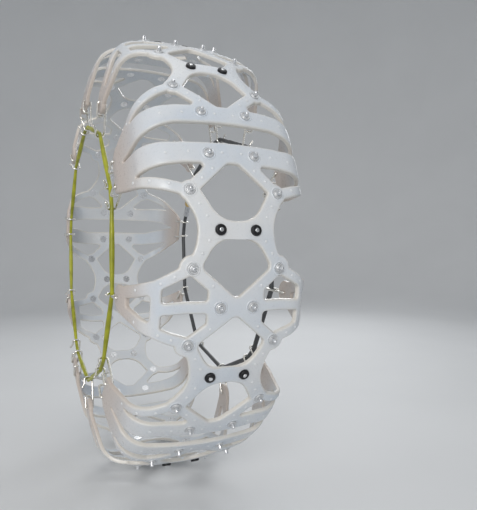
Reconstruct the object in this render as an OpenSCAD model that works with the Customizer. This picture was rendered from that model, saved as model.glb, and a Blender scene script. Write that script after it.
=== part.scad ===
// Moulded anti-skid net for a passenger car tyre, in the shape it takes when it is fitted.
// Wing and fan segments alternate round the wheel and are screwed together at lapped bars.
// Wire hooks in the side lugs pull on an elastic ring outside and on a coated cable inside.
// The wheel axis is Y, the outer side of the wheel faces -Y, and the origin is the wheel centre.

/* [Tyre envelope] */
// Outer radius of the net at the middle of the tread
net_r = 330; // [275:1:400]
// Radius of the crown across the tread
crown_r = 430; // [350:5:600]
// Half width of the crown, from the middle of the tread to the shoulder
tread_half = 73.5; // [61:0.5:89]
// Radius of the bend over the shoulder
shoulder_r = 40; // [33:1:48]
// Lean of the side straps, in degrees from the tread
side_lean = 76; // [70:1:82]
// Length of the side straps from the shoulder to the flat lugs
side_len = 46; // [38:1:56]
// Thickness of the moulding
net_t = 6; // [5:0.1:7.5]

/* [Bolt bars] */
// Width of the bars along the tread
bar_w = 21; // [17:0.5:25]
// Half length of the bars, to the hollow of the elbows at their ends
waist_v = 47.5; // [43:0.5:52]
// Distance from the middle of the tread at which the elbow straps meet in a bar
elbow_v = 27.8; // [24:0.1:31]
// Radius of the openings where they meet the bars
bar_round = 36; // [30:1:44]
// Distance of the screws from the middle of the tread
screw_v = 21.7; // [17:0.1:26]

/* [Wing segment] */
// Angle from the wing's middle to its bolt bars
wing_bar_a = 15.235; // [14.5:0.005:16]
// Angle from the wing's middle to its corner studs
wing_corner_a = 7.66; // [6.5:0.01:8.5]
// Distance of the corner studs from the middle of the tread
wing_corner_v = 53.4; // [48:0.1:60]
// Width of the elbow straps
wing_strap_w = 16.5; // [14:0.5:19]
// Distance of the middle studs from the middle of the tread
wing_stud_v = 20; // [17:0.5:24]
// Width of the crossing arms
wing_arm_w = 15; // [12:0.5:18]
// Width of the spine from the crossing to the rib
wing_spine_w = 13.8; // [11:0.1:17]
// Half width of the solid hub round the crossing
wing_hub_v = 35; // [30:0.5:40]
// Distance of the rib from the middle of the tread
wing_rib_v = 94; // [86:0.5:102]
// Width of the rib
wing_rib_w = 14; // [11:0.5:17]
// Angle from the wing's middle to its edge straps at the rib
wing_edge_a = 4.85; // [4.2:0.05:5.5]
// Width of the edge straps
wing_edge_w = 14; // [11:0.5:17]
// Half angle of the side window at the rib
wing_window_a = 2.9; // [2.2:0.05:3.2]
// Half angle of the side window at its narrow end
wing_window_tip_a = 1.05; // [0.7:0.05:1.4]
// Length of solid strap between the side window and the lug
wing_window_land = 17; // [12:0.5:22]
// Radius of the round bosses at the corner studs
wing_boss_r = 15.5; // [12:0.5:18]
// Radius of the round lug about its hook hole
wing_lug_r = 16; // [13:0.5:19]

/* [Fan segment] */
// Angle from the fan's middle to the middle of each cross band
fan_band_a = 4.8; // [4.4:0.05:5.4]
// Width of the cross bands
fan_band_w = 27; // [22:0.5:32]
// Angle from the fan's middle to the band studs
fan_stud_a = 5.1; // [4.6:0.05:5.6]
// Distance of the band studs from the middle of the tread
fan_stud_v = 28.7; // [24:0.1:34]
// Angle from the fan's middle to its corner studs
fan_corner_a = 12.9; // [12:0.05:14]
// Distance of the corner studs from the middle of the tread
fan_corner_v = 54.5; // [49:0.1:60]
// Width of the elbow straps
fan_strap_w = 21.5; // [18:0.5:25]
// Distance from the middle of the tread to the roots of the diagonals
fan_diag_root_v = 4; // [2:0.5:8]
// Width of the diagonals
fan_diag_w = 16; // [13:0.5:19]
// Angle from the fan's middle to the ends of the side arms
fan_arm_a = 6.7; // [6:0.05:7.4]
// Width of the side arms
fan_arm_w = 13.5; // [11:0.5:17]
// Distance by which the middle of those arms passes outside the corner studs
fan_arm_shift = 1.25; // [0:0.25:2.5]
// Half length of the parallel stretch of the slit between the bands
fan_slit_v = 65; // [55:1:72]
// Length of solid lug between the slit and the flat lug
fan_slit_land = 18; // [14:0.5:24]
// Half width of the slit at its pointed ends
fan_slit_tip = 1.5; // [1:0.1:3]
// Radius of the round bosses at the corner studs
fan_boss_r = 12; // [10:0.5:15]
// Half angle of the lug at its free edge
fan_lug_a = 5.6; // [5.2:0.05:6.4]
// Length of the flat lug
fan_lug_len = 15.3; // [13:0.1:19]
// Angle from the fan's middle to its hook holes
fan_hook_a = 4.2; // [3.8:0.05:4.6]

/* [Side lugs] */
// Creep of the lugs round the wheel against the tread, in degrees
lug_turn = -2; // [-3:0.1:3]
// Distance from the middle of the tread at which the creep starts
lug_turn_v = 60; // [50:1:72]
// Distance of the hook holes from the start of the flat lugs
lug_hole_in = 7.3; // [6:0.1:8.8]

/* [Studs] */
// Diameter of the stud pins
stud_d = 5; // [4:0.1:6]
// Height of the stud tips over the moulding
stud_h = 7.5; // [5:0.1:9]
// Diameter of the flat end of a stud tip
stud_tip_d = 3; // [2:0.1:3.8]
// Length of the taper of a stud tip
stud_taper = 1.5; // [1:0.1:2]
// Diameter of the flange under the moulding
stud_flange_d = 14; // [11:0.1:16]
// Thickness of the flange
stud_flange_t = 1.5; // [1:0.1:2]
// Diameter of the collar on the moulding
collar_d = 12; // [10:0.1:14]
// Thickness of the collar
collar_t = 1.6; // [1.2:0.1:2]

/* [Screws] */
// Diameter of the screw shanks
screw_d = 5; // [4:0.1:6]
// Diameter of the screw heads under the bars
head_d = 14; // [11:0.1:16]
// Thickness of the screw heads
head_t = 1.6; // [1.2:0.1:2.2]
// Depth of the seats for the heads
head_seat = 0.8; // [0.5:0.1:1]
// Diameter of the round nuts
nut_d = 12.6; // [10.4:0.1:15]
// Thickness of the round nuts
nut_t = 4; // [3:0.1:5]
// Depth of the seats for the nuts
nut_seat = 1; // [0.5:0.1:1.2]
// Length of screw thread that shows past the nut
screw_proud = 0.8; // [0.3:0.1:1.5]

/* [Hooks] */
// Diameter of the hook wire
hook_wire = 3.2; // [2.6:0.1:3.8]
// Distance from the hook holes to the ring, along the radius
hook_drop = 41.5; // [36:0.5:50]
// Bend radius of the wire at the lug hole
hook_bend = 2.4; // [2:0.1:3]
// Bend radius of the wire at the end of the eye
eye_bend = 3; // [2.5:0.1:3.5]
// Length of the free tip
tip_len = 7; // [5:0.5:10]
// Flare of the free tip
tip_flare = 4; // [2:0.5:6]

/* [Tension ring and cable] */
// Diameter of the elastic ring and of the cable
ring_d = 7; // [5.8:0.1:8.4]
// Creep of the ring and the cable round the wheel against the tread, in degrees
ring_turn = -4.07; // [-4.5:0.01:0]
// Bend radius of the ring and the cable where they cross a hook
ring_bend = 6; // [5:0.5:10]
// Diameter of the ferrules on the cable ends
ferrule_d = 10; // [9:0.1:12]
// Length of the ferrules
ferrule_len = 24; // [18:1:30]
// Length of solid metal in a ferrule between the cable and the spigot
ferrule_land = 6; // [4:0.5:9]
// Diameter of the threaded spigots on the ferrules
spigot_d = 6; // [5:0.1:7]
// Length of the threaded spigots
spigot_len = 12; // [9:0.5:14]
// Width across the flats of the lock sleeve
sleeve_af = 13; // [11:0.5:16]
// Length of the lock sleeve
sleeve_len = 30; // [29:1:38]

/* [Fits] */
// Gap between the lapped halves of a bar
lap_gap = 0.2; // [0.1:0.05:0.4]
// Clearance round the studs and screws in the moulding
seat_gap = 0.15; // [0.05:0.05:0.3]
// Clearance round the hook wires in the lug holes
hole_gap = 0.15; // [0.1:0.05:0.3]
// Clearance of collars, nuts and the lock sleeve on their pins
bore_gap = 0.05; // [0.03:0.01:0.1]
// Gap between a hook's eye and the faces of a lug
eye_gap = 0.8; // [0.6:0.1:1.2]
// Gap between a hook's eye and the end of the longest lug
eye_slack = 1.5; // [1:0.1:3]
// Gap beside the ring in a hook's bend
ring_side_gap = 0.9; // [0.7:0.1:1.2]
// Gap under the ring in a hook's bend
ring_seat_gap = 0.3; // [0.2:0.05:0.6]
// Gap between the lock sleeve and the ferrules
sleeve_gap = 0.3; // [0.2:0.1:0.6]

/* [Hidden] */
$fn = 48;
// Pieces round the wheel
pairs = 5;
pitch = 180 / pairs;
first_wing_a = -10.9;
// Roundness of the swept shell, of outline corners, and the steps along each part of the section
shell_fn = 240;
corner_steps = 4;
nose_steps = 5;
elbow_steps = 5;
crown_steps = 3;
shoulder_steps = 5;
// Angle that each side of a round lug takes up, and the little that is left flat at its end
nose_sweep = 100;
nose_flat = 0.5;
// Rounding of the openings at the crossing arms, at the studs, in the windows, at their narrow tips and
// at the slit's points
hex_round = 8;
vertex_round = 3;
window_round = 4;
tip_round = 1;
point_round = 2;
// Share of a short edge that a rounded corner may take
corner_share = 0.45;
// Reach of the cuts to either side of the outer face, how far they run past an edge, and into each other
cut_reach = 22;
past = 1;
band_overlap = 2;
// Extra radius of a wire's bends, and how far its straights run into them
weld = 0.04;
weld_in = 0.2;

// Section of the net, as arc lengths from the middle of the tread
mm_deg = PI * net_r / 180;
crown_lean = asin(tread_half / crown_r);
crown_end = crown_r * crown_lean * PI / 180;
shoulder_end = crown_end + shoulder_r * (side_lean - crown_lean) * PI / 180;
lug_start = shoulder_end + side_len;
crown_p = [net_r - crown_r * (1 - cos(crown_lean)), tread_half];
shoulder_p = crown_p + shoulder_r * [cos(side_lean) - cos(crown_lean), sin(side_lean) - sin(crown_lean)];
lug_p = shoulder_p + side_len * [-sin(side_lean), cos(side_lean)];
hole_r = lug_p[0] - lug_hole_in;
ring_r = hole_r - hook_drop;
lug_mid_z = lug_p[1] - net_t / 2;

// Cuts are made square to the net in one band over the tread, the shoulders and the sides.
// The tread and side bands take this share of the bend over a shoulder
band_share = 0.2;
tread_band = crown_end + (shoulder_end - crown_end) * band_share;
side_band = shoulder_end - (shoulder_end - crown_end) * band_share;
far = 2 * lug_start;
bands = [[-far, -side_band], [-side_band, -tread_band], [-tread_band, tread_band],
         [tread_band, side_band], [side_band, far]];

// Angles of the pieces
fan_bar_a = pitch - wing_bar_a;
bar_half_a = bar_w / 2 / mm_deg;
lap_gap_a = lap_gap / mm_deg;
// Sweep of a lap's cut, and its end across the tread
lap_sweep = 2 * bar_half_a + lap_gap_a + past;
lap_end = waist_v + past + bar_w / 2;
wing_end_a = wing_bar_a + bar_half_a;
wing_lap_a = wing_bar_a - bar_half_a;
fan_end_a = fan_bar_a + bar_half_a;
fan_lap_a = fan_bar_a - bar_half_a;
wing_angles = [for (k = [0:pairs - 1]) first_wing_a + 2 * pitch * k];
fan_angles = [for (k = [0:pairs - 1]) first_wing_a + 2 * pitch * k + pitch];
hook_angles = [for (k = [0:pairs - 1])
               each [wing_angles[k], fan_angles[k] - fan_hook_a, fan_angles[k] + fan_hook_a]];
hooks = len(hook_angles);

// Hooks, in a plane with the first axis from the lug hole to the ring and the second one outboard
ring_offset = [ring_r * cos(ring_turn - lug_turn) - hole_r, ring_r * sin(ring_turn - lug_turn)];
hook_len = norm(ring_offset);
hook_lean = atan2(ring_offset[1], ring_offset[0]);
bend_r = ring_d / 2 + ring_side_gap + hook_wire / 2;
// The longest spans of the ring slope by this much against the square to a hook
span_slope = (pitch - fan_hook_a) / 2 + 180 - abs(hook_lean);
bend_t = hook_len - bend_r + (ring_d / 2 + ring_seat_gap + hook_wire / 2) / cos(span_slope);
leg_b = net_t / 2 + eye_gap + hook_wire / 2;
eye_t = wing_lug_r + eye_slack + hook_wire / 2;
eye_end_b = hook_wire / 2 + eye_slack / 2 - leg_b;
tip_straight = hook_wire;
hook_path = [[eye_t, eye_end_b], [eye_t, leg_b], [0, leg_b], [0, -leg_b], [bend_t + bend_r, -bend_r],
             [bend_t + bend_r, bend_r], [bend_t - tip_straight, bend_r],
             [bend_t - tip_straight - tip_len, bend_r + tip_flare]];
// The two corners of the bend keep a short flat between them
bend_flat = 1.2;
bend_corner = bend_r - bend_flat / 2;
hook_bends = [0, eye_bend, hook_bend, hook_bend, bend_corner, bend_corner, bend_corner, 0];

// Loop through the hooks, in the plane of the lugs
function loop_turn(i) =
    let (next = hook_angles[(i + 1) % hooks], last = hook_angles[(i + hooks - 1) % hooks])
    ((next - last + 720) % 360) / 2;
function loop_point(i) =
    let (a = hook_angles[i % hooks] + ring_turn,
         r = ring_r + ring_bend * (1 / cos(loop_turn(i % hooks) / 2) - 1))
    r * [cos(a), sin(a)];
loop_path = [for (i = [0:hooks - 1]) loop_point(i)];
loop_bends = [for (i = [0:hooks - 1]) ring_bend];
// The lock sits half way along the span that follows this hook
lock_hook = 6;
lock_mid = (loop_point(lock_hook) + loop_point(lock_hook + 1)) / 2;
lock_way = unit(loop_point(lock_hook + 1) - loop_point(lock_hook));
lock_a = atan2(lock_way[1], lock_way[0]);
lock_near = sleeve_len / 2 + sleeve_gap;
lock_half = lock_near + ferrule_land + seat_gap;
cable_path = concat([lock_mid + lock_half * lock_way],
                    [for (i = [1:hooks]) loop_point(lock_hook + i)],
                    [lock_mid - lock_half * lock_way]);
cable_bends = concat([0], loop_bends, [0]);

// Plane geometry
function unit(p) = p / norm(p);
function left_of(a, b) = let (d = unit(b - a)) [-d[1], d[0]];
function edge(a, b, off) = let (n = off * left_of(a, b)) [a + n, b + n];
function meet(e, f) =
    let (d = e[1] - e[0], g = f[1] - f[0], w = f[0] - e[0])
    e[0] + d * (w[0] * g[1] - w[1] * g[0]) / (d[0] * g[1] - d[1] * g[0]);
function flip(pts, sx, sv) = [for (p = pts) [sx * p[0], sv * p[1]]];

// One corner rounded to r, or to less where its edges are short
function corner(p0, p1, p2, r) =
    let (a = p0 - p1, b = p2 - p1, half = acos(unit(a) * unit(b)) / 2,
         run = min(r / tan(half), corner_share * min(norm(a), norm(b))), fit = run * tan(half),
         c = p1 + unit(unit(a) + unit(b)) * fit / sin(half),
         s = p1 + unit(a) * run - c, e = p1 + unit(b) * run - c,
         a0 = atan2(s[1], s[0]), sweep = ((atan2(e[1], e[0]) - a0 + 540) % 360) - 180)
    [for (i = [0:corner_steps]) let (t = a0 + sweep * i / corner_steps) c + fit * [cos(t), sin(t)]];
function rounded(pts, r) =
    let (n = len(pts))
    [for (i = [0:n - 1]) each corner(pts[(i + n - 1) % n], pts[i], pts[(i + 1) % n], is_list(r) ? r[i] : r)];
// Hollow of an elbow: an arc from the far side of the bar at bar_x to the straight outer edge e of a strap
function elbow(e, bar_x, far_x) =
    let (d = e[0] - e[1], slope = atan2(abs(d[1]), abs(d[0])), line_v = meet(e, [[bar_x, 0], [bar_x, 1]])[1],
         r = (waist_v - line_v) * cos(slope) / (1 - cos(slope)), far_a = asin(min(1, (far_x - bar_x) / r)))
    [for (i = [0:elbow_steps]) let (a = far_a - (far_a + slope) * i / elbow_steps)
     [bar_x + r * sin(a), waist_v + r * (1 - cos(a))]];

// The part of an outline between two distances across the tread
function clip_side(pts, lim, s) =
    [for (i = [0:1:len(pts) - 1])
        let (p = pts[i], q = pts[(i + 1) % len(pts)],
             p_in = s * (p[1] - lim) >= 0, q_in = s * (q[1] - lim) >= 0)
        each concat(p_in ? [p] : [], p_in != q_in ? [p + (q - p) * (lim - p[1]) / (q[1] - p[1])] : [])];
function clip_band(pts, lo, hi) = clip_side(clip_side(pts, lo, 1), hi, -1);

// Lean, place and creep of the outer face at a distance v across the tread
function lean(t) =
    t <= crown_end ? t / crown_r * 180 / PI
    : t <= shoulder_end ? crown_lean + (t - crown_end) / shoulder_r * 180 / PI
    : t <= lug_start ? side_lean : 90;
function half_face(t) =
    t <= crown_end ? [net_r - crown_r * (1 - cos(lean(t))), crown_r * sin(lean(t))]
    : t <= shoulder_end
    ? crown_p + shoulder_r * [cos(lean(t)) - cos(crown_lean), sin(lean(t)) - sin(crown_lean)]
    : t <= lug_start ? shoulder_p + (t - shoulder_end) * [-sin(side_lean), cos(side_lean)]
    : lug_p - [t - lug_start, 0];
function face(v) = let (f = half_face(abs(v))) [f[0], sign(v) * f[1]];
function turn_at(v) = lug_turn * min(1, max(0, (abs(v) - lug_turn_v) / (lug_start - lug_turn_v)));
function angle_at(p, c) = c + p[0] / mm_deg + turn_at(p[1]);
function on_net(p, c) = let (f = face(p[1]), a = angle_at(p, c)) [f[0] * cos(a), f[0] * sin(a), f[1]];

// Half of the section at a depth below the outer face, out to the distance end
function stations(end) =
    [for (t = concat([for (i = [0:crown_steps]) crown_end * i / crown_steps],
                     [for (i = [1:shoulder_steps])
                      crown_end + (shoulder_end - crown_end) * i / shoulder_steps],
                     [lug_start])) if (t < end) t];
function at_depth(t, depth) =
    let (kink = (90 - side_lean) / 2, mitred = t == lug_start, l = mitred ? side_lean + kink : lean(t))
    half_face(t) - depth / (mitred ? cos(kink) : 1) * [cos(l), sin(l)];
function half_section(end, depth) = [for (t = concat(stations(end), [end])) at_depth(t, depth)];
function section(end, depth) =
    let (h = half_section(end, depth), n = len(h))
    concat([for (i = [n - 1:-1:1]) [h[i][0], -h[i][1]]], h);
function reversed(pts) = [for (i = [len(pts) - 1:-1:0]) pts[i]];

// Local frame of the wheel, with its axis along Z and its outer side up, laid into place
module wheel() {
    rotate([90, 0, 0]) children();
}

// Stretch of the net between two angles and two depths
module shell(a0, a1, end, depth0, depth1) {
    rotate([0, 0, a0])
        rotate_extrude(angle = a1 - a0, $fn = shell_fn)
            polygon(concat(section(end, depth0), reversed(section(end, depth1))));
}

// Children stood on the outer face at point p of the segment whose middle is at angle c
module on_face(p, c) {
    f = face(p[1]);
    rotate([0, 0, angle_at(p, c)])
        translate([f[0], 0, f[1]])
            rotate([0, 90 - sign(p[1]) * lean(abs(p[1])), 0])
                children();
}

module prism(pts, c) {
    xs = [for (p = pts) p[0]];
    vs = [for (p = pts) p[1]];
    mid = [min(xs) + max(xs), min(vs) + max(vs)] / 2;
    a = angle_at(mid, c);
    l = sign(mid[1]) * lean(abs(mid[1]));
    along = [-sin(a), cos(a), 0];
    across = [-cos(a) * sin(l), -sin(a) * sin(l), cos(l)];
    on_face(mid, c)
        translate([0, 0, -cut_reach])
            linear_extrude(2 * cut_reach)
                polygon([for (p = pts) let (q = on_net(p, c) - on_net(mid, c)) [-q * across, q * along]]);
}

// Cut along an outline, in one prism for each band that it crosses
module cut(pts, c) {
    for (b = bands) {
        piece = clip_band(pts, b[0] - band_overlap, b[1] + band_overlap);
        if (len(piece) > 2) prism(piece, c);
    }
}

// The same cut in each of the four quarters of a segment, or on one of its axes
module cut_quarters(pts, c) {
    for (sx = [-1, 1], sv = [-1, 1]) cut(flip(pts, sx, sv), c);
}

// Outlines of the wing segment's openings, with points along the tread and across it
wing_corner = [wing_corner_a * mm_deg, wing_corner_v];
wing_elbow = [wing_bar_a * mm_deg, elbow_v];
wing_edge = [wing_edge_a * mm_deg, wing_rib_v];
wing_arm_in = edge([0, 0], wing_corner, -wing_arm_w / 2);
wing_arm_out = edge([0, 0], wing_corner, wing_arm_w / 2);
wing_diag_in = edge(wing_corner, wing_elbow, -wing_strap_w / 2);
wing_diag_out = edge(wing_corner, wing_elbow, wing_strap_w / 2);
wing_edge_in = edge(wing_corner, wing_edge, wing_edge_w / 2);
wing_edge_out = edge(wing_corner, wing_edge, -wing_edge_w / 2);
wing_bar_x = wing_lap_a * mm_deg;
wing_bar_edge = [[wing_bar_x, 0], [wing_bar_x, elbow_v]];
middle = [[0, 0], [1, 0]];
hub_line = [[0, wing_hub_v], [1, wing_hub_v]];
rib_line = [[0, wing_rib_v - wing_rib_w / 2], [1, wing_rib_v - wing_rib_w / 2]];
wing_hex_half = [meet(wing_arm_in, wing_diag_in), meet(wing_diag_in, wing_bar_edge)];
wing_hex = rounded(concat([meet(wing_arm_in, middle)], wing_hex_half, reversed(flip(wing_hex_half, 1, -1))),
                   [hex_round, hex_round, bar_round, bar_round, hex_round]);
wing_window_v = lug_start - wing_window_land;
wing_rib_out = wing_rib_v + wing_rib_w / 2;
wing_inner_window = rounded([[wing_spine_w / 2, wing_hub_v], meet(wing_arm_out, hub_line),
                             meet(wing_arm_out, wing_edge_in), meet(wing_edge_in, rib_line),
                             [wing_spine_w / 2, rib_line[0][1]]], window_round);
wing_side_half = [[wing_window_a * mm_deg, wing_rib_out], [wing_window_tip_a * mm_deg, wing_window_v]];
wing_side_window = rounded(concat(wing_side_half, reversed(flip(wing_side_half, -1, 1))), window_round);
wing_lug_end = lug_start + lug_hole_in + wing_lug_r;
wing_shell_end = wing_lug_end - nose_flat;
// Points round the lug, from its side to its end
wing_nose = [for (i = [0:nose_steps])
             let (a = nose_sweep * (1 - i / nose_steps), r = hole_r - wing_lug_r * cos(a))
             [wing_lug_r * sin(a) * net_r / r, lug_start + lug_p[0] - r]];
wing_far_x = (wing_end_a + 2 * abs(lug_turn)) * mm_deg + past;
wing_outside = concat(elbow(wing_diag_out, wing_elbow[0], wing_end_a * mm_deg + past),
                      [meet(wing_diag_out, wing_edge_out), wing_edge_out[1]],
                      wing_nose,
                      [[0, wing_lug_end + past], [wing_far_x, wing_lug_end + past]]);

// Outlines of the fan segment's openings
fan_corner = [fan_corner_a * mm_deg, fan_corner_v];
fan_elbow = [fan_bar_a * mm_deg, elbow_v];
fan_root = [fan_band_a * mm_deg, fan_diag_root_v];
fan_arm_end = [fan_arm_a * mm_deg, lug_start - fan_slit_land];
fan_diag_in = edge(fan_root, fan_corner, -fan_diag_w / 2);
fan_diag_out = edge(fan_root, fan_corner, fan_diag_w / 2);
fan_strap_in = edge(fan_corner, fan_elbow, -fan_strap_w / 2);
fan_strap_out = edge(fan_corner, fan_elbow, fan_strap_w / 2);
fan_arm_in = edge(fan_corner, fan_arm_end, fan_arm_w / 2 - fan_arm_shift);
fan_arm_out = edge(fan_corner, fan_arm_end, -fan_arm_w / 2 - fan_arm_shift);
fan_bar_x = fan_lap_a * mm_deg;
fan_bar_edge = [[fan_bar_x, 0], [fan_bar_x, elbow_v]];
fan_band_out = fan_band_a * mm_deg + fan_band_w / 2;
fan_band_in = fan_band_a * mm_deg - fan_band_w / 2;
fan_band_line = [[fan_band_out, 0], [fan_band_out, 1]];
fan_hex_half = [meet(fan_band_line, fan_diag_in), meet(fan_diag_in, fan_strap_in),
                meet(fan_strap_in, fan_bar_edge)];
fan_hex = rounded(concat(fan_hex_half, reversed(flip(fan_hex_half, 1, -1))),
                  [hex_round, vertex_round, bar_round, bar_round, vertex_round, hex_round]);
fan_window = rounded([meet(fan_band_line, fan_diag_out), meet(fan_diag_out, fan_arm_in),
                      meet(fan_arm_in, fan_band_line)], [window_round, window_round, tip_round]);
fan_slit_half = [[fan_band_in, fan_slit_v], [fan_slit_tip, lug_start - fan_slit_land],
                 [-fan_slit_tip, lug_start - fan_slit_land], [-fan_band_in, fan_slit_v]];
fan_slit = rounded(concat(fan_slit_half, flip(fan_slit_half, -1, -1)), point_round);
fan_shell_end = lug_start + fan_lug_len;
fan_lug_x = fan_lug_a * mm_deg;
fan_far_x = (fan_end_a + 2 * abs(lug_turn)) * mm_deg + past;
fan_outside = concat(elbow(fan_strap_out, fan_elbow[0], fan_end_a * mm_deg + past),
                     [meet(fan_strap_out, fan_arm_out), fan_arm_out[1], [fan_lug_x, fan_shell_end],
                      [fan_lug_x, fan_shell_end + past], [fan_far_x, fan_shell_end + past]]);

// Stud and screw places on a segment, as points along the tread and across it
wing_studs = concat([for (s = [-1, 1]) [0, s * wing_stud_v]],
                    [for (sx = [-1, 1], sv = [-1, 1]) [sx * wing_corner[0], sv * wing_corner[1]]]);
fan_studs = concat([for (sx = [-1, 1], sv = [-1, 1]) [sx * fan_stud_a * mm_deg, sv * fan_stud_v]],
                   [for (sx = [-1, 1], sv = [-1, 1]) [sx * fan_corner[0], sv * fan_corner[1]]]);
function bar_screw_points(bar_a) = [for (sx = [-1, 1], sv = [-1, 1]) [sx * bar_a * mm_deg, sv * screw_v]];

// Hole with a seat sunk from the inner face for a flange, or from the outer one for a nut
module stud_hole() {
    translate([0, 0, -cut_reach]) cylinder(d = stud_d + 2 * seat_gap, h = 2 * cut_reach);
    translate([0, 0, -cut_reach])
        cylinder(d = stud_flange_d + 2 * seat_gap, h = cut_reach - net_t + stud_flange_t + seat_gap);
}

module screw_hole() {
    translate([0, 0, -cut_reach]) cylinder(d = screw_d + 2 * seat_gap, h = 2 * cut_reach);
}

module head_seat_cut() {
    translate([0, 0, -cut_reach]) cylinder(d = head_d + 2 * seat_gap, h = cut_reach - net_t + head_seat);
}

module nut_seat_cut() {
    translate([0, 0, -nut_seat]) cylinder(d = nut_d + 2 * seat_gap, h = cut_reach);
}

module hook_holes(angles) {
    for (a = angles)
        rotate([0, 0, a + lug_turn])
            translate([hole_r, 0, -2 * lug_p[1]])
                cylinder(d = hook_wire + 2 * hole_gap, h = 4 * lug_p[1]);
}

// A cut in each quarter, less the round bosses at the corner studs
module bossed_cut(pts, boss, boss_r, c) {
    difference() {
        cut_quarters(pts, c);
        for (sx = [-1, 1], sv = [-1, 1])
            on_face([sx * boss[0], sv * boss[1]], c)
                translate([0, 0, -cut_reach]) cylinder(r = boss_r, h = 2 * cut_reach);
    }
}

module wing_segment(k) {
    c = wing_angles[k];
    color([0.84, 0.87, 0.88]) wheel() difference() {
        shell(c - wing_end_a, c + wing_end_a, wing_shell_end, 0, net_t);
        for (a = [c - wing_end_a - past, c + wing_lap_a - lap_gap_a])
            shell(a, a + lap_sweep, lap_end, -past, (net_t + lap_gap) / 2);
        for (s = [-1, 1]) {
            cut(flip(wing_hex, s, 1), c);
            cut(flip(wing_side_window, 1, s), c);
        }
        cut_quarters(wing_inner_window, c);
        bossed_cut(wing_outside, wing_corner, wing_boss_r, c);
        for (p = wing_studs) on_face(p, c) stud_hole();
        for (p = bar_screw_points(wing_bar_a)) on_face(p, c) {
            screw_hole();
            head_seat_cut();
        }
        hook_holes([c]);
    }
}

module fan_segment(k) {
    c = fan_angles[k];
    color([0.86, 0.88, 0.86]) wheel() difference() {
        shell(c - fan_end_a, c + fan_end_a, fan_shell_end, 0, net_t);
        for (a = [c - fan_end_a - past, c + fan_lap_a - lap_gap_a])
            shell(a, a + lap_sweep, lap_end, (net_t - lap_gap) / 2, net_t + past);
        for (s = [-1, 1]) cut(flip(fan_hex, s, 1), c);
        bossed_cut(fan_window, fan_corner, fan_boss_r, c);
        cut(fan_slit, c);
        bossed_cut(fan_outside, fan_corner, fan_boss_r, c);
        for (p = fan_studs) on_face(p, c) stud_hole();
        for (p = bar_screw_points(fan_bar_a)) on_face(p, c) {
            screw_hole();
            nut_seat_cut();
        }
        hook_holes([c - fan_hook_a, c + fan_hook_a]);
    }
}

// Stud pin with its flange sunk into the inner face and its tip standing out of the tread
module stud_pin() {
    rotate_extrude()
        polygon([[0, -net_t], [stud_flange_d / 2, -net_t], [stud_flange_d / 2, stud_flange_t - net_t],
                 [stud_d / 2, stud_flange_t - net_t], [stud_d / 2, stud_h - stud_taper],
                 [stud_tip_d / 2, stud_h], [0, stud_h]]);
}

module stud_collar() {
    bore = stud_d / 2 + bore_gap;
    rotate_extrude()
        polygon([[bore, seat_gap], [collar_d / 2, seat_gap], [collar_d / 2, collar_t / 2],
                 [collar_d / 2 - collar_t / 2, collar_t], [bore, collar_t]]);
}

module wing_stud_pins() {
    color("silver") wheel() for (c = wing_angles, p = wing_studs) on_face(p, c) stud_pin();
}

module wing_stud_collars() {
    color("gainsboro") wheel() for (c = wing_angles, p = wing_studs) on_face(p, c) stud_collar();
}

module fan_stud_pins() {
    color("silver") wheel() for (c = fan_angles, p = fan_studs) on_face(p, c) stud_pin();
}

module fan_stud_collars() {
    color("gainsboro") wheel() for (c = fan_angles, p = fan_studs) on_face(p, c) stud_collar();
}

module bar_screw() {
    top = nut_t - nut_seat + screw_proud;
    bottom = -net_t + head_seat - head_t;
    rotate_extrude()
        polygon([[0, bottom], [head_d / 2, bottom], [head_d / 2, bottom + head_t],
                 [screw_d / 2, bottom + head_t], [screw_d / 2, top], [0, top]]);
}

module bar_nut() {
    translate([0, 0, -nut_seat]) difference() {
        cylinder(d = nut_d, h = nut_t);
        translate([0, 0, -past]) cylinder(d = screw_d + 2 * bore_gap, h = nut_t + 2 * past);
    }
}

module bar_screws() {
    color("lightgray") wheel()
        for (c = wing_angles, p = bar_screw_points(wing_bar_a)) on_face(p, c) bar_screw();
}

module bar_nuts() {
    color([0.08, 0.08, 0.09]) wheel()
        for (c = wing_angles, p = bar_screw_points(wing_bar_a)) on_face(p, c) bar_nut();
}

// Round wire along a plane path, with an arc of its own radius at each corner
module bent_wire(path, bends, d, closed) {
    n = len(path);
    spans = closed ? n : n - 1;
    ways = [for (i = [0:spans - 1]) let (v = path[(i + 1) % n] - path[i]) atan2(v[1], v[0])];
    turns = [for (i = [0:n - 1])
             !closed && (i == 0 || i == n - 1) ? 0
             : ((ways[i % spans] - ways[(i + spans - 1) % spans] + 540) % 360) - 180];
    trims = [for (i = [0:n - 1]) bends[i] * tan(abs(turns[i]) / 2)];
    starts = [for (t = trims) t > 0 ? t - weld_in : 0];
    for (i = [0:spans - 1])
        translate(path[i] + starts[i] * [cos(ways[i]), sin(ways[i])])
            rotate([0, 0, ways[i]]) rotate([0, 90, 0])
                cylinder(d = d, h = norm(path[(i + 1) % n] - path[i]) - starts[i] - starts[(i + 1) % n]);
    for (i = [0:n - 1])
        if (turns[i] != 0)
            let (s = sign(turns[i]), w = ways[(i + spans - 1) % spans], side = w + 90 * s)
            translate(path[i] - trims[i] * [cos(w), sin(w)] + bends[i] * [cos(side), sin(side)])
                rotate([0, 0, s > 0 ? side + 180 : side + 180 + turns[i]])
                    rotate_extrude(angle = abs(turns[i]))
                        translate([bends[i], 0]) circle(d = d + 2 * weld);
}

// Hook whose eye goes through a lug hole and round the lug, and whose bend holds the loop
module hook(i) {
    rotate([0, 0, hook_angles[i] + lug_turn])
        translate([hole_r, 0, lug_mid_z])
            rotate([0, 0, hook_lean]) rotate([90, 0, 0])
                bent_wire(hook_path, hook_bends, hook_wire, false);
}

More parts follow.
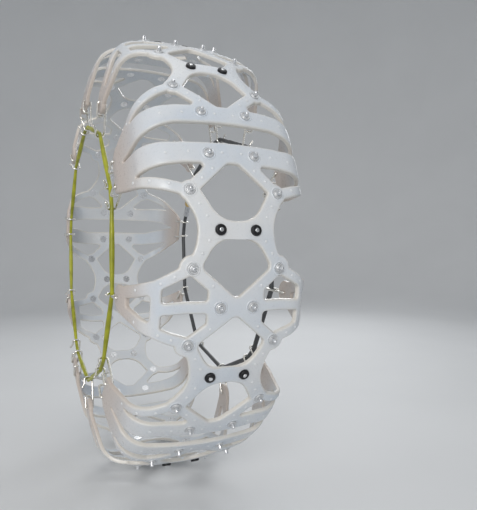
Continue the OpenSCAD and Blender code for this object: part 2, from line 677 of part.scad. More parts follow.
module outer_hook(i) {
    color("whitesmoke") wheel() hook(i);
}

module inner_hook(i) {
    color("silver") wheel() mirror([0, 0, 1]) hook(i);
}

module tension_ring() {
    color([0.72, 0.74, 0.16]) wheel()
        translate([0, 0, lug_mid_z]) bent_wire(loop_path, loop_bends, ring_d, true);
}

module inner_cable() {
    color("dimgray") wheel()
        translate([0, 0, -lug_mid_z]) bent_wire(cable_path, cable_bends, ring_d, false);
}

// Children laid along the lock's span, with its middle at the origin and the span along Z
module on_lock() {
    wheel() translate([lock_mid[0], lock_mid[1], -lug_mid_z])
        rotate([0, 0, lock_a]) rotate([0, 90, 0]) children();
}

// Ferrule with a socket for the cable's end and a spigot for the sleeve
module ferrule() {
    translate([0, 0, lock_near]) difference() {
        cylinder(d = ferrule_d, h = ferrule_len);
        translate([0, 0, ferrule_land]) cylinder(d = ring_d + 2 * bore_gap, h = ferrule_len);
    }
    translate([0, 0, lock_near - spigot_len]) cylinder(d = spigot_d, h = spigot_len + ferrule_land / 2);
}

module cable_ferrule_a() {
    color("darkgray") on_lock() ferrule();
}

module cable_ferrule_b() {
    color("darkgray") on_lock() rotate([180, 0, 0]) ferrule();
}

module cable_lock_sleeve() {
    color("gold") on_lock() difference() {
        cylinder(d = sleeve_af / cos(30), h = sleeve_len, center = true, $fn = 6);
        cylinder(d = spigot_d + 2 * bore_gap, h = sleeve_len + 2 * past, center = true);
    }
}

for (k = [1:pairs]) {
    wing_segment(k - 1);
    fan_segment(k - 1);
}
wing_stud_pins();
wing_stud_collars();
fan_stud_pins();
fan_stud_collars();
bar_screws();
bar_nuts();
tension_ring();
inner_cable();
cable_ferrule_a();
cable_ferrule_b();
cable_lock_sleeve();
for (i = [1:hooks]) {
    outer_hook(i - 1);
    inner_hook(i - 1);
}
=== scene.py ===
"""Looks of a moulded anti-skid net.

Wing and fan mouldings alternate round the net's axis. Steel studs stand on them, black nuts close
their lapped bars, and wire hooks in their side lugs pull on an elastic ring outside and on a coated
cable inside. The tread is the net's running face. Sizes are in millimetres and angles in degrees,
unless a docstring says otherwise. Meshes are placed in metres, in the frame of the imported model.
"""
import logging
import math
from dataclasses import dataclass, field
from enum import Enum
from functools import cached_property
from typing import Callable, Sequence

import bpy
import numpy as np
from mathutils import Matrix, Vector


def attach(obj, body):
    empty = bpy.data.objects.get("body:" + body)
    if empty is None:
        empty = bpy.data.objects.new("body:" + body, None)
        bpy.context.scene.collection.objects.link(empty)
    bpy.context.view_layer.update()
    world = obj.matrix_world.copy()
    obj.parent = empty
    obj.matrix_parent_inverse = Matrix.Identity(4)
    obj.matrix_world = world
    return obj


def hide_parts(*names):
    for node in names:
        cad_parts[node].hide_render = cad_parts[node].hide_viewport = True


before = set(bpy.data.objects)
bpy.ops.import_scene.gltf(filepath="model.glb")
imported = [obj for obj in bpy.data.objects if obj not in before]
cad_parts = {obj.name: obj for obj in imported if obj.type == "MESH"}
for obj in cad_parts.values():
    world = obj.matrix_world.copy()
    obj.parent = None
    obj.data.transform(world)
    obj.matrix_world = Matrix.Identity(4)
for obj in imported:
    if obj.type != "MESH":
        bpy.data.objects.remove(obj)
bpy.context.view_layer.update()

Array = np.ndarray
Field = Callable[[Array], Array]
Line = tuple[Array, Array]
Pair = tuple[float, float]
Triple = tuple[float, float, float]
Patch = tuple[Array, Array]  # Faces, and a normal for each of their corners.

LOG = logging.getLogger("anti_skid_net")
MM = 0.001
AXIS = np.array([0.0, 1.0, 0.0])  # The axis that the net goes round.
PER_KIND = 5  # Mouldings of each kind.
TINY = 1e-12  # Keeps a length from being zero where it divides.
STRAIGHT = 1e-4  # A corner that turns by less, in radians, stays sharp.
ARC_SHARE = 0.45  # The most of an edge that the arc at one of its ends may take.
ON_LINE = 1e-4  # Points this close to a grid line lie on it.
LEVEL_TOL = 0.03  # Field values this close to a level count as on its line.
ROOT_STEPS = 4  # Steps that close in on a level line.
NUDGE = 1e-9  # Puts a value that has reached a level just past it.
DIGITS = 6  # Decimals to which places are compared.


class Face(Enum):
    """Face of a moulding, with the sign of its normal."""

    OUTER = 1
    INNER = -1


class Side(Enum):
    """Side of the net, with the sign of its distance across the tread."""

    OUTER = 1
    INNER = -1


# Plane geometry


def unit(p: Array) -> Array:
    """Scale vectors along the last axis to length one."""
    return p / np.maximum(np.linalg.norm(p, axis=-1, keepdims=True), TINY)


def heading(a: float) -> Array:
    """Unit vector of a plane at an angle in radians."""
    return np.array([math.cos(a), math.sin(a)])


def point(u: float, v: float) -> Array:
    """Point at u along the tread and v across it."""
    return np.array([u, v], float)


def level(v: float) -> Line:
    """Line along the tread at a distance v across it."""
    return point(0, v), point(1, v)


def upright(u: float) -> Line:
    """Line across the tread at a distance u along it."""
    return point(u, 0), point(u, 1)


def along(a: Array, b: Array, shares: Sequence[float]) -> list[Array]:
    """Points at shares of the way from a to b."""
    return [a + (b - a) * s for s in shares]


def flip(pts: Sequence[Array], su: int, sv: int) -> list[Array]:
    """Points mirrored by the two signs, in the opposite order."""
    return [np.asarray(p) * (su, sv) for p in pts][::-1]


def mirrored(pts: Sequence[Array]) -> Array:
    """Copy quarter points into all four quarters, without doubles on the axes.

    Args:
        pts: Points of one quarter.

    Returns:
        The points, one in each row.
    """
    signs = np.array([[1, 1], [-1, 1], [-1, -1], [1, -1]])
    copies = (np.asarray(pts)[:, None] * signs + 0.0).reshape(-1, 2)
    return np.unique(np.round(copies, DIGITS), axis=0)


def strap(a: Array, b: Array, width: float, shift: float = 0.0) -> tuple[Line, Line]:
    """Find both edges of a strap from a to b: the middle line, moved by half the width each way.

    Args:
        a: First point of the middle line.
        b: Second point of the middle line.
        width: Width of the strap.
        shift: Distance of the strap to the left of the middle line.

    Returns:
        The right edge and the left edge, each given by two points.
    """
    d = unit(b - a)
    n = np.array([-d[1], d[0]])
    right, left = (shift - width / 2) * n, (shift + width / 2) * n
    return (a + right, b + right), (a + left, b + left)


def meet(e: Line, f: Line) -> Array:
    """Find the point where two lines cross."""
    d, g, w = e[1] - e[0], f[1] - f[0], f[0] - e[0]
    return e[0] + d * (w[0] * g[1] - w[1] * g[0]) / (d[0] * g[1] - d[1] * g[0])


def arc_corner(p0: Array, p1: Array, p2: Array, r: float, steps: int) -> Array:
    """Round the corner at p1: an arc that touches both edges, shorter where the edges are short.

    Args:
        p0: Point before the corner.
        p1: The corner.
        p2: Point after the corner.
        r: Radius of the arc.
        steps: Steps along the arc.

    Returns:
        Points along the arc, in the plane of the three points.
    """
    a, b = unit(p0 - p1), unit(p2 - p1)
    half = math.acos(max(-1.0, min(1.0, float(a @ b)))) / 2
    if r <= 0 or half > math.pi / 2 - STRAIGHT:
        return p1[None]
    shorter = min(np.linalg.norm(p0 - p1), np.linalg.norm(p2 - p1))
    run = min(r / math.tan(half), ARC_SHARE * shorter)
    fit = run * math.tan(half)
    c = p1 + unit(a + b) * fit / math.sin(half)
    t = np.linspace(0, math.pi - 2 * half, steps + 1)[:, None]
    return c + fit * (np.cos(t) * unit(p1 + a * run - c) - np.sin(t) * a)


def rounded(pts: Sequence[Array], radii: float | Sequence[float], steps: int = 8,
            closed: bool = True) -> Array:
    """Round every corner of a path with arc_corner.

    Args:
        pts: Corner points.
        radii: One radius, or one for each corner.
        steps: Steps along each arc.
        closed: Whether the path closes on its first point. The ends of an open path stay sharp.

    Returns:
        Points along the rounded path.
    """
    n = len(pts)
    rs = [radii] * n if isinstance(radii, (int, float)) else radii
    ends = () if closed else (0, n - 1)
    return np.concatenate([
        np.asarray(pts[i])[None] if i in ends
        else arc_corner(pts[i - 1], pts[i], pts[(i + 1) % n], rs[i], steps) for i in range(n)])


def dense(path: Array, step: float, closed: bool = True) -> Array:
    """Add points along the straight runs of a path, so that none is longer than step.

    Args:
        path: Points of the path.
        step: Longest run that may be left.
        closed: Whether the last point joins the first.

    Returns:
        The path with the added points.
    """
    runs = np.roll(path, -1, axis=0) - path
    parts = []
    for p, run in zip(path, runs if closed else runs[:-1]):
        count = max(1, math.ceil(np.linalg.norm(run) / step))
        parts.append(p + run * (np.arange(count) / count)[:, None])
    return np.concatenate(parts if closed else [*parts, path[-1:]])


def outline_distance(p: Array, ring: Array) -> Array:
    """Signed distance to a closed outline: least distance to its edges, negative inside.

    A point is inside where a ray from it along the first axis crosses an odd number of edges.

    Args:
        p: Points, one in each row.
        ring: Corners of the outline.

    Returns:
        One distance for each point.
    """
    a, b = ring, np.roll(ring, -1, axis=0)
    e = b - a
    wx, wy = p[:, :1] - a[:, 0], p[:, 1:] - a[:, 1]
    t = np.clip((wx * e[:, 0] + wy * e[:, 1]) / np.maximum((e * e).sum(1), TINY), 0, 1)
    d = np.sqrt(((wx - t * e[:, 0]) ** 2 + (wy - t * e[:, 1]) ** 2).min(1))
    rise = np.where(np.abs(e[:, 1]) < TINY, TINY, e[:, 1])
    spans = (a[:, 1] <= p[:, 1:]) != (b[:, 1] <= p[:, 1:])
    hits = spans & (wx < wy * e[:, 0] / rise)
    return np.where(hits.sum(1) % 2 == 1, -d, d)


def soft_min(a: Array, b: Array, k: float) -> Array:
    """Smaller of two fields, with a fillet about k wide where they meet."""
    h = np.maximum(k - np.abs(a - b), 0) / k
    return np.minimum(a, b) - h * h * k / 4


def smooth_step(x: Array, low: float, high: float) -> Array:
    """Ease from zero at low to one at high."""
    t = np.clip((x - low) / (high - low), 0, 1)
    return t * t * (3 - 2 * t)


def slope(dist: Field, p: Array, h: float = 0.02) -> Array:
    """Unit slope of a field at points, from central differences."""
    du, dv = np.array([h, 0]), np.array([0, h])
    return unit(np.stack([dist(p + du) - dist(p - du), dist(p + dv) - dist(p - dv)], -1))


# Meshes


@dataclass
class Shell:
    """Triangles or quads gathered for one mesh, with corner normals where a surface gives them."""

    verts: list[Array] = field(default_factory=list)
    faces: list[Array] = field(default_factory=list)
    normals: list[Array] = field(default_factory=list)
    marks: dict[str, list[Array]] = field(default_factory=dict)
    count: int = 0

    def add(self, verts: Array, faces: Sequence[Array], normals: Sequence[Array] = (),
            marks: dict[str, Array] | None = None) -> None:
        """Add a surface.

        Args:
            verts: Points, in metres.
            faces: Arrays of triangles or quads that index the points.
            normals: For each array of faces, a normal for each of its corners.
            marks: Named values for the points.
        """
        self.verts.append(verts)
        self.faces += [f + self.count for f in faces]
        self.normals += list(normals)
        for name, values in (marks or {}).items():
            self.marks.setdefault(name, []).append(values)
        self.count += len(verts)

    def to_object(self, name: str, sharp: float | None = None) -> bpy.types.Object:
        """Make a Blender object at the origin.

        Args:
            name: Name of the object.
            sharp: Angle past which an edge is shaded sharp, where the surface gives no normals.

        Returns:
            The new object.
        """
        mesh = bpy.data.meshes.new(name)
        co = np.concatenate(self.verts).astype(np.float32)
        loops = np.concatenate([f.reshape(-1) for f in self.faces]).astype(np.int32)
        sizes = np.concatenate([np.full(len(f), f.shape[1]) for f in self.faces])
        starts = (np.cumsum(sizes) - sizes).astype(np.int32)
        mesh.vertices.add(len(co))
        mesh.vertices.foreach_set("co", co.reshape(-1))
        mesh.loops.add(len(loops))
        mesh.loops.foreach_set("vertex_index", loops)
        mesh.polygons.add(len(starts))
        mesh.polygons.foreach_set("loop_start", starts)
        mesh.polygons.foreach_set("use_smooth", np.ones(len(starts), bool))
        for mark, parts in self.marks.items():
            values = np.concatenate(parts).astype(np.float32)
            mesh.attributes.new(mark, "FLOAT", "POINT").data.foreach_set("value", values)
        mesh.update(calc_edges=True)
        if self.normals:
            corners = np.concatenate([n.reshape(-1, 3) for n in self.normals])
            mesh.normals_split_custom_set(corners.tolist())
        elif sharp is not None:
            mesh.set_sharp_from_angle(angle=math.radians(sharp))
        obj = bpy.data.objects.new(name, mesh)
        bpy.context.scene.collection.objects.link(obj)
        return obj


def grid_quads(rows: int, cols: int, wrap_rows: bool, wrap_cols: bool) -> Array:
    """Quads of a grid of points stored row by row.

    Args:
        rows: Number of rows.
        cols: Number of points in a row.
        wrap_rows: Whether the last row joins the first.
        wrap_cols: Whether the last point of a row joins its first.

    Returns:
        Quads whose turn runs along the row first.
    """
    i = np.arange(rows if wrap_rows else rows - 1)[:, None]
    j = np.arange(cols if wrap_cols else cols - 1)[None, :]
    i2, j2 = (i + 1) % rows, (j + 1) % cols
    return np.stack([i * cols + j, i * cols + j2, i2 * cols + j2, i2 * cols + j], -1).reshape(-1, 4)


def ringed(verts: Array, rows: int, cols: int) -> tuple[Array, list[Array]]:
    """Points and faces of a wrapped grid whose last row joins its first."""
    return verts, [grid_quads(rows, cols, True, True)]


def capped(verts: Array, rows: int, cols: int) -> tuple[Array, list[Array]]:
    """Close both ends of a wrapped grid whose first and last rows have shrunk to a point.

    Args:
        verts: Grid points, rows times cols of them.
        rows: Number of rows.
        cols: Number of points in a row.

    Returns:
        The points with one point for each end, and the faces.
    """
    inner = verts.reshape(rows, cols, 3)[1:-1].reshape(-1, 3)
    ends = verts.reshape(rows, cols, 3)[[0, -1], 0]
    j = np.arange(cols)
    j2, top = (j + 1) % cols, (rows - 3) * cols
    first, last = np.full(cols, len(inner)), np.full(cols, len(inner) + 1)
    return np.concatenate([inner, ends]), [grid_quads(rows - 2, cols, False, True),
                                           np.stack([first, j2, j], -1),
                                           np.stack([top + j, top + j2, last], -1)]


def turned(r: Array, h: Array, sides: int) -> Array:
    """Points of a turned surface: r cos(a), r sin(a) and h at even angles a, row by row.

    Args:
        r: Radius of each row, or of each point of each row.
        h: Height of each row.
        sides: Points in a row.

    Returns:
        The points.
    """
    a = np.arange(sides) * 2 * math.pi / sides
    r = r.reshape(len(h), -1)
    rows = np.broadcast_arrays(r * np.cos(a), r * np.sin(a), h[:, None])
    return np.stack(rows, -1).reshape(-1, 3)


@dataclass(frozen=True)
class Spots:
    """Places with axes of their own: an origin, two axes across and one along, in metres."""

    origin: Array
    x: Array
    y: Array
    z: Array

    def stand(self, shell: Shell, r: Array, h: Array, sides: int, ring: bool = False) -> None:
        """Stand a turned surface on the z axis of every spot.

        A point x, y, h of the surface lies at the origin plus x, y and h times the three axes.

        Args:
            shell: Shell that takes the surfaces.
            r: Radius of each row, or of each point of each row, from the bottom outwards and up.
            h: Height of each row.
            sides: Points round the axis.
            ring: Whether the rows close in a loop, with a bore, and do not run from pole to pole.
        """
        local = turned(r * MM, h * MM, sides)
        for o, x, y, z in zip(self.origin, self.x, self.y, self.z):
            verts = o + local @ np.stack([x, y, z])
            shell.add(*(ringed if ring else capped)(verts, len(h), sides))


@dataclass(frozen=True)
class Tube:
    """Round section carried along a path that stays in one plane.

    At a point with way t and plane normal b, the section is r cos(a) (b x t) + r sin(a) b.
    """

    path: Array
    normal: Array
    radius: Array
    closed: bool = False
    sides: int = 20
    dome: float = 0.5
    dome_rows: int = 3

    def shell(self) -> Shell:
        """Make the surface, with domed ends where the tube is open.

        Returns:
            A shell with the tube.
        """
        p, r = self.path, self.radius
        if self.closed:
            way = unit(np.roll(p, -1, 0) - np.roll(p, 1, 0))
        else:
            way = unit(np.gradient(p, axis=0))
            t = np.linspace(0, math.pi / 2, self.dome_rows + 1)[:, None]
            low = p[0] + way[0] * self.dome * r[0] * (1 - np.sin(t[::-1]))
            high = p[-1] - way[-1] * self.dome * r[-1] * (1 - np.sin(t))
            scale = np.concatenate([np.cos(t[::-1]), np.ones((len(p) - 2, 1)), np.cos(t)])[:, 0]
            rows = [0] * len(t) + list(range(1, len(p) - 1)) + [len(p) - 1] * len(t)
            p = np.concatenate([low, p[1:-1], high])
            way, r = way[rows], r[rows] * scale
        across = unit(np.cross(self.normal, way))
        a = np.arange(self.sides) * 2 * math.pi / self.sides
        verts = (p[:, None] + (r[:, None] * np.cos(a))[..., None] * across[:, None]
                 + (r[:, None] * np.sin(a))[..., None] * self.normal).reshape(-1, 3)
        shell = Shell()
        shell.add(*(ringed if self.closed else capped)(verts, len(p), self.sides))
        return shell


@dataclass
class TrimmedSheet:
    """Flat sheet of triangles on a grid of two parameters, cut along level lines of fields."""

    points: Array
    faces: Array

    @classmethod
    def from_grid(cls, us: Array, vs: Array) -> "TrimmedSheet":
        """Make a sheet from grid lines, with the diagonals turned alike in all four quarters.

        Args:
            us: Places of the lines along the tread.
            vs: Places of the lines across the tread.

        Returns:
            The sheet.
        """
        u, v = np.meshgrid(us, vs, indexing="ij")
        q = grid_quads(len(us), len(vs), False, False)[:, ::-1]
        pts = np.stack([u, v], -1).reshape(-1, 2)
        mid = pts[q].mean(1)
        turn = (mid[:, 0] * mid[:, 1] > 0)[:, None]
        one = np.where(turn, q[:, [0, 1, 2]], q[:, [0, 1, 3]])
        two = np.where(turn, q[:, [0, 2, 3]], q[:, [1, 2, 3]])
        return cls(pts, np.concatenate([one, two]))

    def edges(self) -> Array:
        """Both points of every edge, three edges for each triangle, in its turn."""
        return np.stack([self.faces, np.roll(self.faces, -1, 1)], -1).reshape(-1, 2)

    def snap(self, dist: Field, reach: float, fixed: Array) -> None:
        """Move points that lie close to the zero line of a distance field onto it, down its slope.

        Args:
            dist: The field.
            reach: Greatest distance that is moved.
            fixed: Points that stay.
        """
        d = dist(self.points)
        near = (np.abs(d) < reach) & ~fixed
        p = self.points[near]
        self.points[near] = p - d[near, None] * slope(dist, p)

    def cut(self, values: Field, at: float) -> None:
        """Split the triangles that a level line crosses, along that line.

        Args:
            values: The field.
            at: Its value on the line.
        """
        n, f = len(self.points), self.faces
        s = values(self.points) - at
        s[np.abs(s) < LEVEL_TOL] = 0
        pairs = np.sort(self.edges(), 1)
        cross = s[pairs[:, 0]] * s[pairs[:, 1]] < 0
        if not cross.any():
            return
        keys, place = np.unique(pairs[cross, 0] * n + pairs[cross, 1], return_inverse=True)
        a, b = self.points[keys // n], self.points[keys % n]
        fa, fb = s[keys // n], s[keys % n]
        for _ in range(ROOT_STEPS):
            mid = a + (b - a) * (fa / (fa - fb))[:, None]
            fm = values(mid) - at
            low = fm * fa > 0
            a, b = np.where(low[:, None], mid, a), np.where(low[:, None], b, mid)
            past = np.where(fm == 0, -NUDGE * fa, fm)
            fa, fb = np.where(low, fm, fa), np.where(low, fb, past)
        node = np.full(len(pairs), -1)
        node[cross] = n + place.reshape(-1)
        node = node.reshape(-1, 3)
        hits = (node >= 0).sum(1)
        out = [f[hits == 0]]
        for k in range(3):
            k1, k2 = (k + 1) % 3, (k + 2) % 3
            one = (hits == 1) & (node[:, k] >= 0)
            g, m = f[one], node[one, k]
            out += [np.stack([g[:, k], m, g[:, k2]], -1), np.stack([m, g[:, k1], g[:, k2]], -1)]
            two = (hits == 2) & (node[:, k1] < 0)
            g, m, o = f[two], node[two, k], node[two, k2]
            out += [np.stack([g[:, k], m, o], -1), np.stack([m, g[:, k1], g[:, k2]], -1),
                    np.stack([m, g[:, k2], o], -1)]
        self.points = np.concatenate([self.points, mid])
        self.faces = np.concatenate(out)

    def keep_inside(self, dist: Field) -> None:
        """Drop the triangles outside the zero line, and the points that none is left to use.

        A triangle whose points all lie on the line goes by its middle.

        Args:
            dist: The field, negative inside.
        """
        d = dist(self.points)[self.faces]
        middle = dist(self.points[self.faces].mean(1))
        inside = (d.min(1) < -LEVEL_TOL) | ((d.max(1) <= LEVEL_TOL) & (middle < 0))
        used, flat = np.unique(self.faces[inside], return_inverse=True)
        self.points, self.faces = self.points[used], flat.reshape(-1, 3)

    def rim(self) -> tuple[Array, Array]:
        """Find the edges that belong to one triangle only.

        Returns:
            The edges, in the triangle's turn, and the triangle of each.
        """
        pairs = self.edges()
        keys = np.sort(pairs, 1) @ np.array([len(self.points), 1])
        _, place, many = np.unique(keys, return_inverse=True, return_counts=True)
        single = many[place.reshape(-1)] == 1
        return pairs[single], np.flatnonzero(single) // 3


# Net envelope


@dataclass(frozen=True)
class Envelope:
    """Outer face of the fitted net, over a point u along the tread and v across it.

    The section has a wide crown arc, a shoulder arc, a straight side and a flat lug, with a short
    arc where the side turns into the lug. The lugs creep round the axis against the tread.
    """

    net_r: float = 330.0
    crown_r: float = 430.0
    tread_half: float = 73.5
    shoulder_r: float = 40.0
    side_lean: float = 76.0
    side_len: float = 46.0
    net_t: float = 6.0
    lug_turn: float = -2.0
    lug_turn_v: float = 60.0
    lug_hole_in: float = 7.3
    kink_run: float = 5.0

    @cached_property
    def mm_deg(self) -> float:
        """Length of one degree along the tread."""
        return math.pi * self.net_r / 180

    @cached_property
    def crown_lean(self) -> float:
        """Lean at the end of the crown, in radians."""
        return math.asin(self.tread_half / self.crown_r)

    @cached_property
    def crown_end(self) -> float:
        """Distance across the tread to the end of the crown."""
        return self.crown_r * self.crown_lean

    @cached_property
    def shoulder_end(self) -> float:
        """Distance across the tread to the end of the shoulder."""
        return self.crown_end + self.shoulder_r * (math.radians(self.side_lean) - self.crown_lean)

    @cached_property
    def lug_start(self) -> float:
        """Distance across the tread to the start of the lugs."""
        return self.shoulder_end + self.side_len

    @cached_property
    def hole_v(self) -> float:
        """Distance across the tread to the hook holes."""
        return self.lug_start + self.lug_hole_in

    def section(self, v: Array | float) -> tuple[Array, Array, Array]:
        """Follow the section: each arc and straight run adds its own radius and width, up to v.

        Args:
            v: Distances across the tread.

        Returns:
            Radius, distance from the middle plane and lean in radians of the outer face.
        """
        t = np.abs(np.asarray(v, float))
        cl, sl = self.crown_lean, math.radians(self.side_lean)
        kink_r = self.kink_run / math.tan((math.pi / 2 - sl) / 2)
        k0, k1 = self.lug_start - self.kink_run, self.lug_start + self.kink_run
        a = np.minimum(t, self.crown_end) / self.crown_r
        shoulder = np.clip(t - self.crown_end, 0, self.shoulder_end - self.crown_end)
        b = cl + shoulder / self.shoulder_r
        c = np.clip(t - self.shoulder_end, 0, k0 - self.shoulder_end)
        d = sl + np.clip((t - k0) / (k1 - k0), 0, 1) * (math.pi / 2 - sl)
        r = (self.net_r - self.crown_r * (1 - np.cos(a))
             + self.shoulder_r * (np.cos(b) - math.cos(cl)) - c * math.sin(sl)
             + kink_r * (np.cos(d) - math.cos(sl)) - np.maximum(t - k1, 0))
        z = (self.crown_r * np.sin(a) + self.shoulder_r * (np.sin(b) - math.sin(cl))
             + c * math.cos(sl) + kink_r * (np.sin(d) - math.sin(sl)))
        return r, z, np.where(t <= self.crown_end, a, np.where(t <= k0, b, d))

    def true_width(self, p: Array) -> Array:
        """Points with u shrunk to its true length at their own radius, for true distances."""
        return np.stack([p[:, 0] * self.section(p[:, 1])[0] / self.net_r, p[:, 1]], -1)

    def spots(self, p: Array, middle: float) -> Spots:
        """Places on the outer face, with x along the tread, y across it and z outwards.

        Args:
            p: Points u and v, one in each row.
            middle: Angle of the moulding's middle round the axis.

        Returns:
            The places, in metres.
        """
        r, z, lean = self.section(p[:, 1])
        s = np.where(p[:, 1] < 0, -1.0, 1.0)
        past = np.abs(p[:, 1]) - self.lug_turn_v
        creep = np.clip(past / (self.lug_start - self.lug_turn_v), 0, 1)
        a = np.radians(middle + p[:, 0] / self.mm_deg + self.lug_turn * creep)
        ca, sa, cl, sl = np.cos(a), np.sin(a), np.cos(lean), np.sin(lean)
        return Spots(np.stack([r * ca, -s * z, r * sa], -1) * MM,
                     np.stack([-sa, 0 * a, ca], -1),
                     np.stack([-s * sl * ca, -cl, -s * sl * sa], -1),
                     np.stack([cl * ca, -s * sl, cl * sa], -1))


# Finishes


class Shade:
    """A material under construction: adds nodes, wires them and sets their sockets."""

    # Sockets of the mix node that carry its share and its colours, because their names repeat.
    SHARE, COLOUR_A, COLOUR_B, MIXED = 0, 6, 7, 2

    def __init__(self, name: str) -> None:
        """Start a node material with one Principled shader.

        Args:
            name: Name of the material.
        """
        self.material = bpy.data.materials.new(name)
        self.material.use_nodes = True
        self.tree = self.material.node_tree
        self.shader = self.tree.nodes["Principled BSDF"]
        self.coords = self.node("ShaderNodeTexCoord").outputs["Object"]

    def node(self, kind: str, sockets: dict | None = None, **settings: object) -> bpy.types.Node:
        """Add a node.

        Args:
            kind: Node type.
            sockets: Values or outputs for its inputs, by name or number.
            settings: Properties of the node.

        Returns:
            The node.
        """
        made = self.tree.nodes.new(kind)
        for key, value in settings.items():
            setattr(made, key, value)
        self.plug(made, sockets or {})
        return made

    def plug(self, node: bpy.types.Node, sockets: dict) -> None:
        """Set or wire inputs of a node.

        Args:
            node: The node.
            sockets: Values or outputs for its inputs, by name or number.
        """
        for key, value in sockets.items():
            if isinstance(value, bpy.types.NodeSocket):
                self.tree.links.new(value, node.inputs[key])
            else:
                node.inputs[key].default_value = value

    def noise(self, scale: float, detail: float, distortion: float = 0.0) -> bpy.types.NodeSocket:
        """Noise over Object coordinates, as a value."""
        return self.node("ShaderNodeTexNoise", {
            "Vector": self.coords, "Scale": scale, "Detail": detail,
            "Distortion": distortion}).outputs["Fac"]

    def spread(self, value: bpy.types.NodeSocket, low: float, high: float,
               span: Pair = (0.3, 0.7)) -> bpy.types.NodeSocket:
        """Map a value from a span onto a range. Noise fills the span that is set as default."""
        sockets = {"Value": value, "From Min": span[0], "From Max": span[1], "To Min": low,
                   "To Max": high}
        return self.node("ShaderNodeMapRange", sockets).outputs["Result"]

    def blend(self, factor: bpy.types.NodeSocket, a: object, b: object) -> bpy.types.NodeSocket:
        """Mix two colours, each given as an output or as red, green and blue.

        Args:
            factor: Share of the second colour.
            a: First colour.
            b: Second colour.

        Returns:
            The mixed colour.
        """
        a, b = ((*c, 1.0) if isinstance(c, tuple) else c for c in (a, b))
        sockets = {self.SHARE: factor, self.COLOUR_A: a, self.COLOUR_B: b}
        return self.node("ShaderNodeMix", sockets, data_type="RGBA").outputs[self.MIXED]

    def mark(self, name: str) -> bpy.types.NodeSocket:
        """Named value of the mesh points."""
        return self.node("ShaderNodeAttribute", attribute_name=name).outputs["Fac"]

    def relief(self, height: bpy.types.NodeSocket, strength: float, depth: float,
               under: bpy.types.NodeSocket | None = None) -> bpy.types.NodeSocket:
        """Bump from a height value.

        Args:
            height: The height.
            strength: Strength of the bump.
            depth: Its depth in metres.
            under: Another bump that this one lies over.

        Returns:
            The normal.
        """
        sockets = {"Height": height, "Strength": strength, "Distance": depth}
        if under is not None:
            sockets["Normal"] = under
        return self.node("ShaderNodeBump", sockets).outputs["Normal"]

    def done(self, sockets: dict) -> bpy.types.Material:
        """Set the shader's inputs and hand the material over."""
        self.plug(self.shader, sockets)
        return self.material


# A finish gives noises by scale, detail and distortion, and bumps by strength and depth in metres.


@dataclass(frozen=True)
class MilkyUrethane:
    """Moulded urethane: milky and a little cloudy, with painted shade: warmer along its edges, and
    darker and warmer down its sides.
    """

    name: str = "milky_urethane"
    clear: Triple = (0.55, 0.60, 0.66)
    cloudy: Triple = (0.68, 0.69, 0.695)
    # Painted edge shade: a warmer colour along the rounded edges.
    edge: Triple = (0.66, 0.60, 0.50)
    # Painted side shade: a darker, warmer colour down the sides and lugs.
    side: Triple = (0.52, 0.445, 0.395)
    edge_shade_share: float = 0.55
    edge_shade_span: Pair = (0.25, 1.0)
    side_shade_share: float = 0.8
    side_shade_span: Pair = (0.0, 1.0)
    rough: Pair = (0.24, 0.40)
    ior: float = 1.49
    glow: float = 0.15
    glow_tint: Triple = (1.0, 0.92, 0.84)
    glow_depth: float = 0.006
    clouds: Triple = (9, 3, 0.6)
    scuffs: Triple = (420, 4, 1.2)
    skin: Pair = (160, 2)
    skin_bump: Pair = (0.12, 0.0006)
    grain: Pair = (2600, 2)
    grain_bump: Pair = (0.10, 0.0001)

    @cached_property
    def material(self) -> bpy.types.Material:
        """Mix the cloudy colour with the painted shade colours by the edge and side marks, over two
        bumps.

        Returns:
            The finish as a material.
        """
        s = Shade(self.name)
        colour = s.blend(s.spread(s.noise(*self.clouds), 0, 1), self.clear, self.cloudy)
        # Painted edge shade: a warmer tint along the rounded edges.
        rim = s.spread(s.mark("edge"), 0, self.edge_shade_share, self.edge_shade_span)
        colour = s.blend(rim, colour, self.edge)
        # Painted side shade: darker and warmer down the sides and lugs.
        side_shade = s.spread(s.mark("side"), 0, self.side_shade_share, self.side_shade_span)
        colour = s.blend(side_shade, colour, self.side)
        scuff = s.spread(s.noise(*self.scuffs), *self.rough)
        skin = s.relief(s.noise(*self.skin), *self.skin_bump)
        return s.done({"Base Color": colour, "Roughness": scuff, "IOR": self.ior,
                       "Subsurface Weight": self.glow, "Subsurface Radius": self.glow_tint,
                       "Subsurface Scale": self.glow_depth,
                       "Normal": s.relief(s.noise(*self.grain), *self.grain_bump, skin)})


@dataclass(frozen=True)
class BareMetal:
    """Metal with a colour that drifts a little and fine scratches in its gloss."""

    name: str
    light: Triple
    dark: Triple
    rough: Pair = (0.18, 0.36)
    metal: float = 1.0
    grain: float = 900.0
    dents: float = 0.15
    dent_depth: float = 0.00008
    drift: Pair = (240, 3)
    scratches: Pair = (4, 0.8)
    dent_detail: float = 2

    @cached_property
    def material(self) -> bpy.types.Material:
        """Mix two colours by a slow noise, under a scratched gloss and small dents.

        Returns:
            The finish as a material.
        """
        s = Shade(self.name)
        colour = s.blend(s.spread(s.noise(*self.drift), 0, 1), self.dark, self.light)
        gloss = s.spread(s.noise(self.grain, *self.scratches), *self.rough)
        dents = s.noise(self.grain * 2, self.dent_detail)
        return s.done({"Base Color": colour, "Metallic": self.metal, "Roughness": gloss,
                       "Normal": s.relief(dents, self.dents, self.dent_depth)})


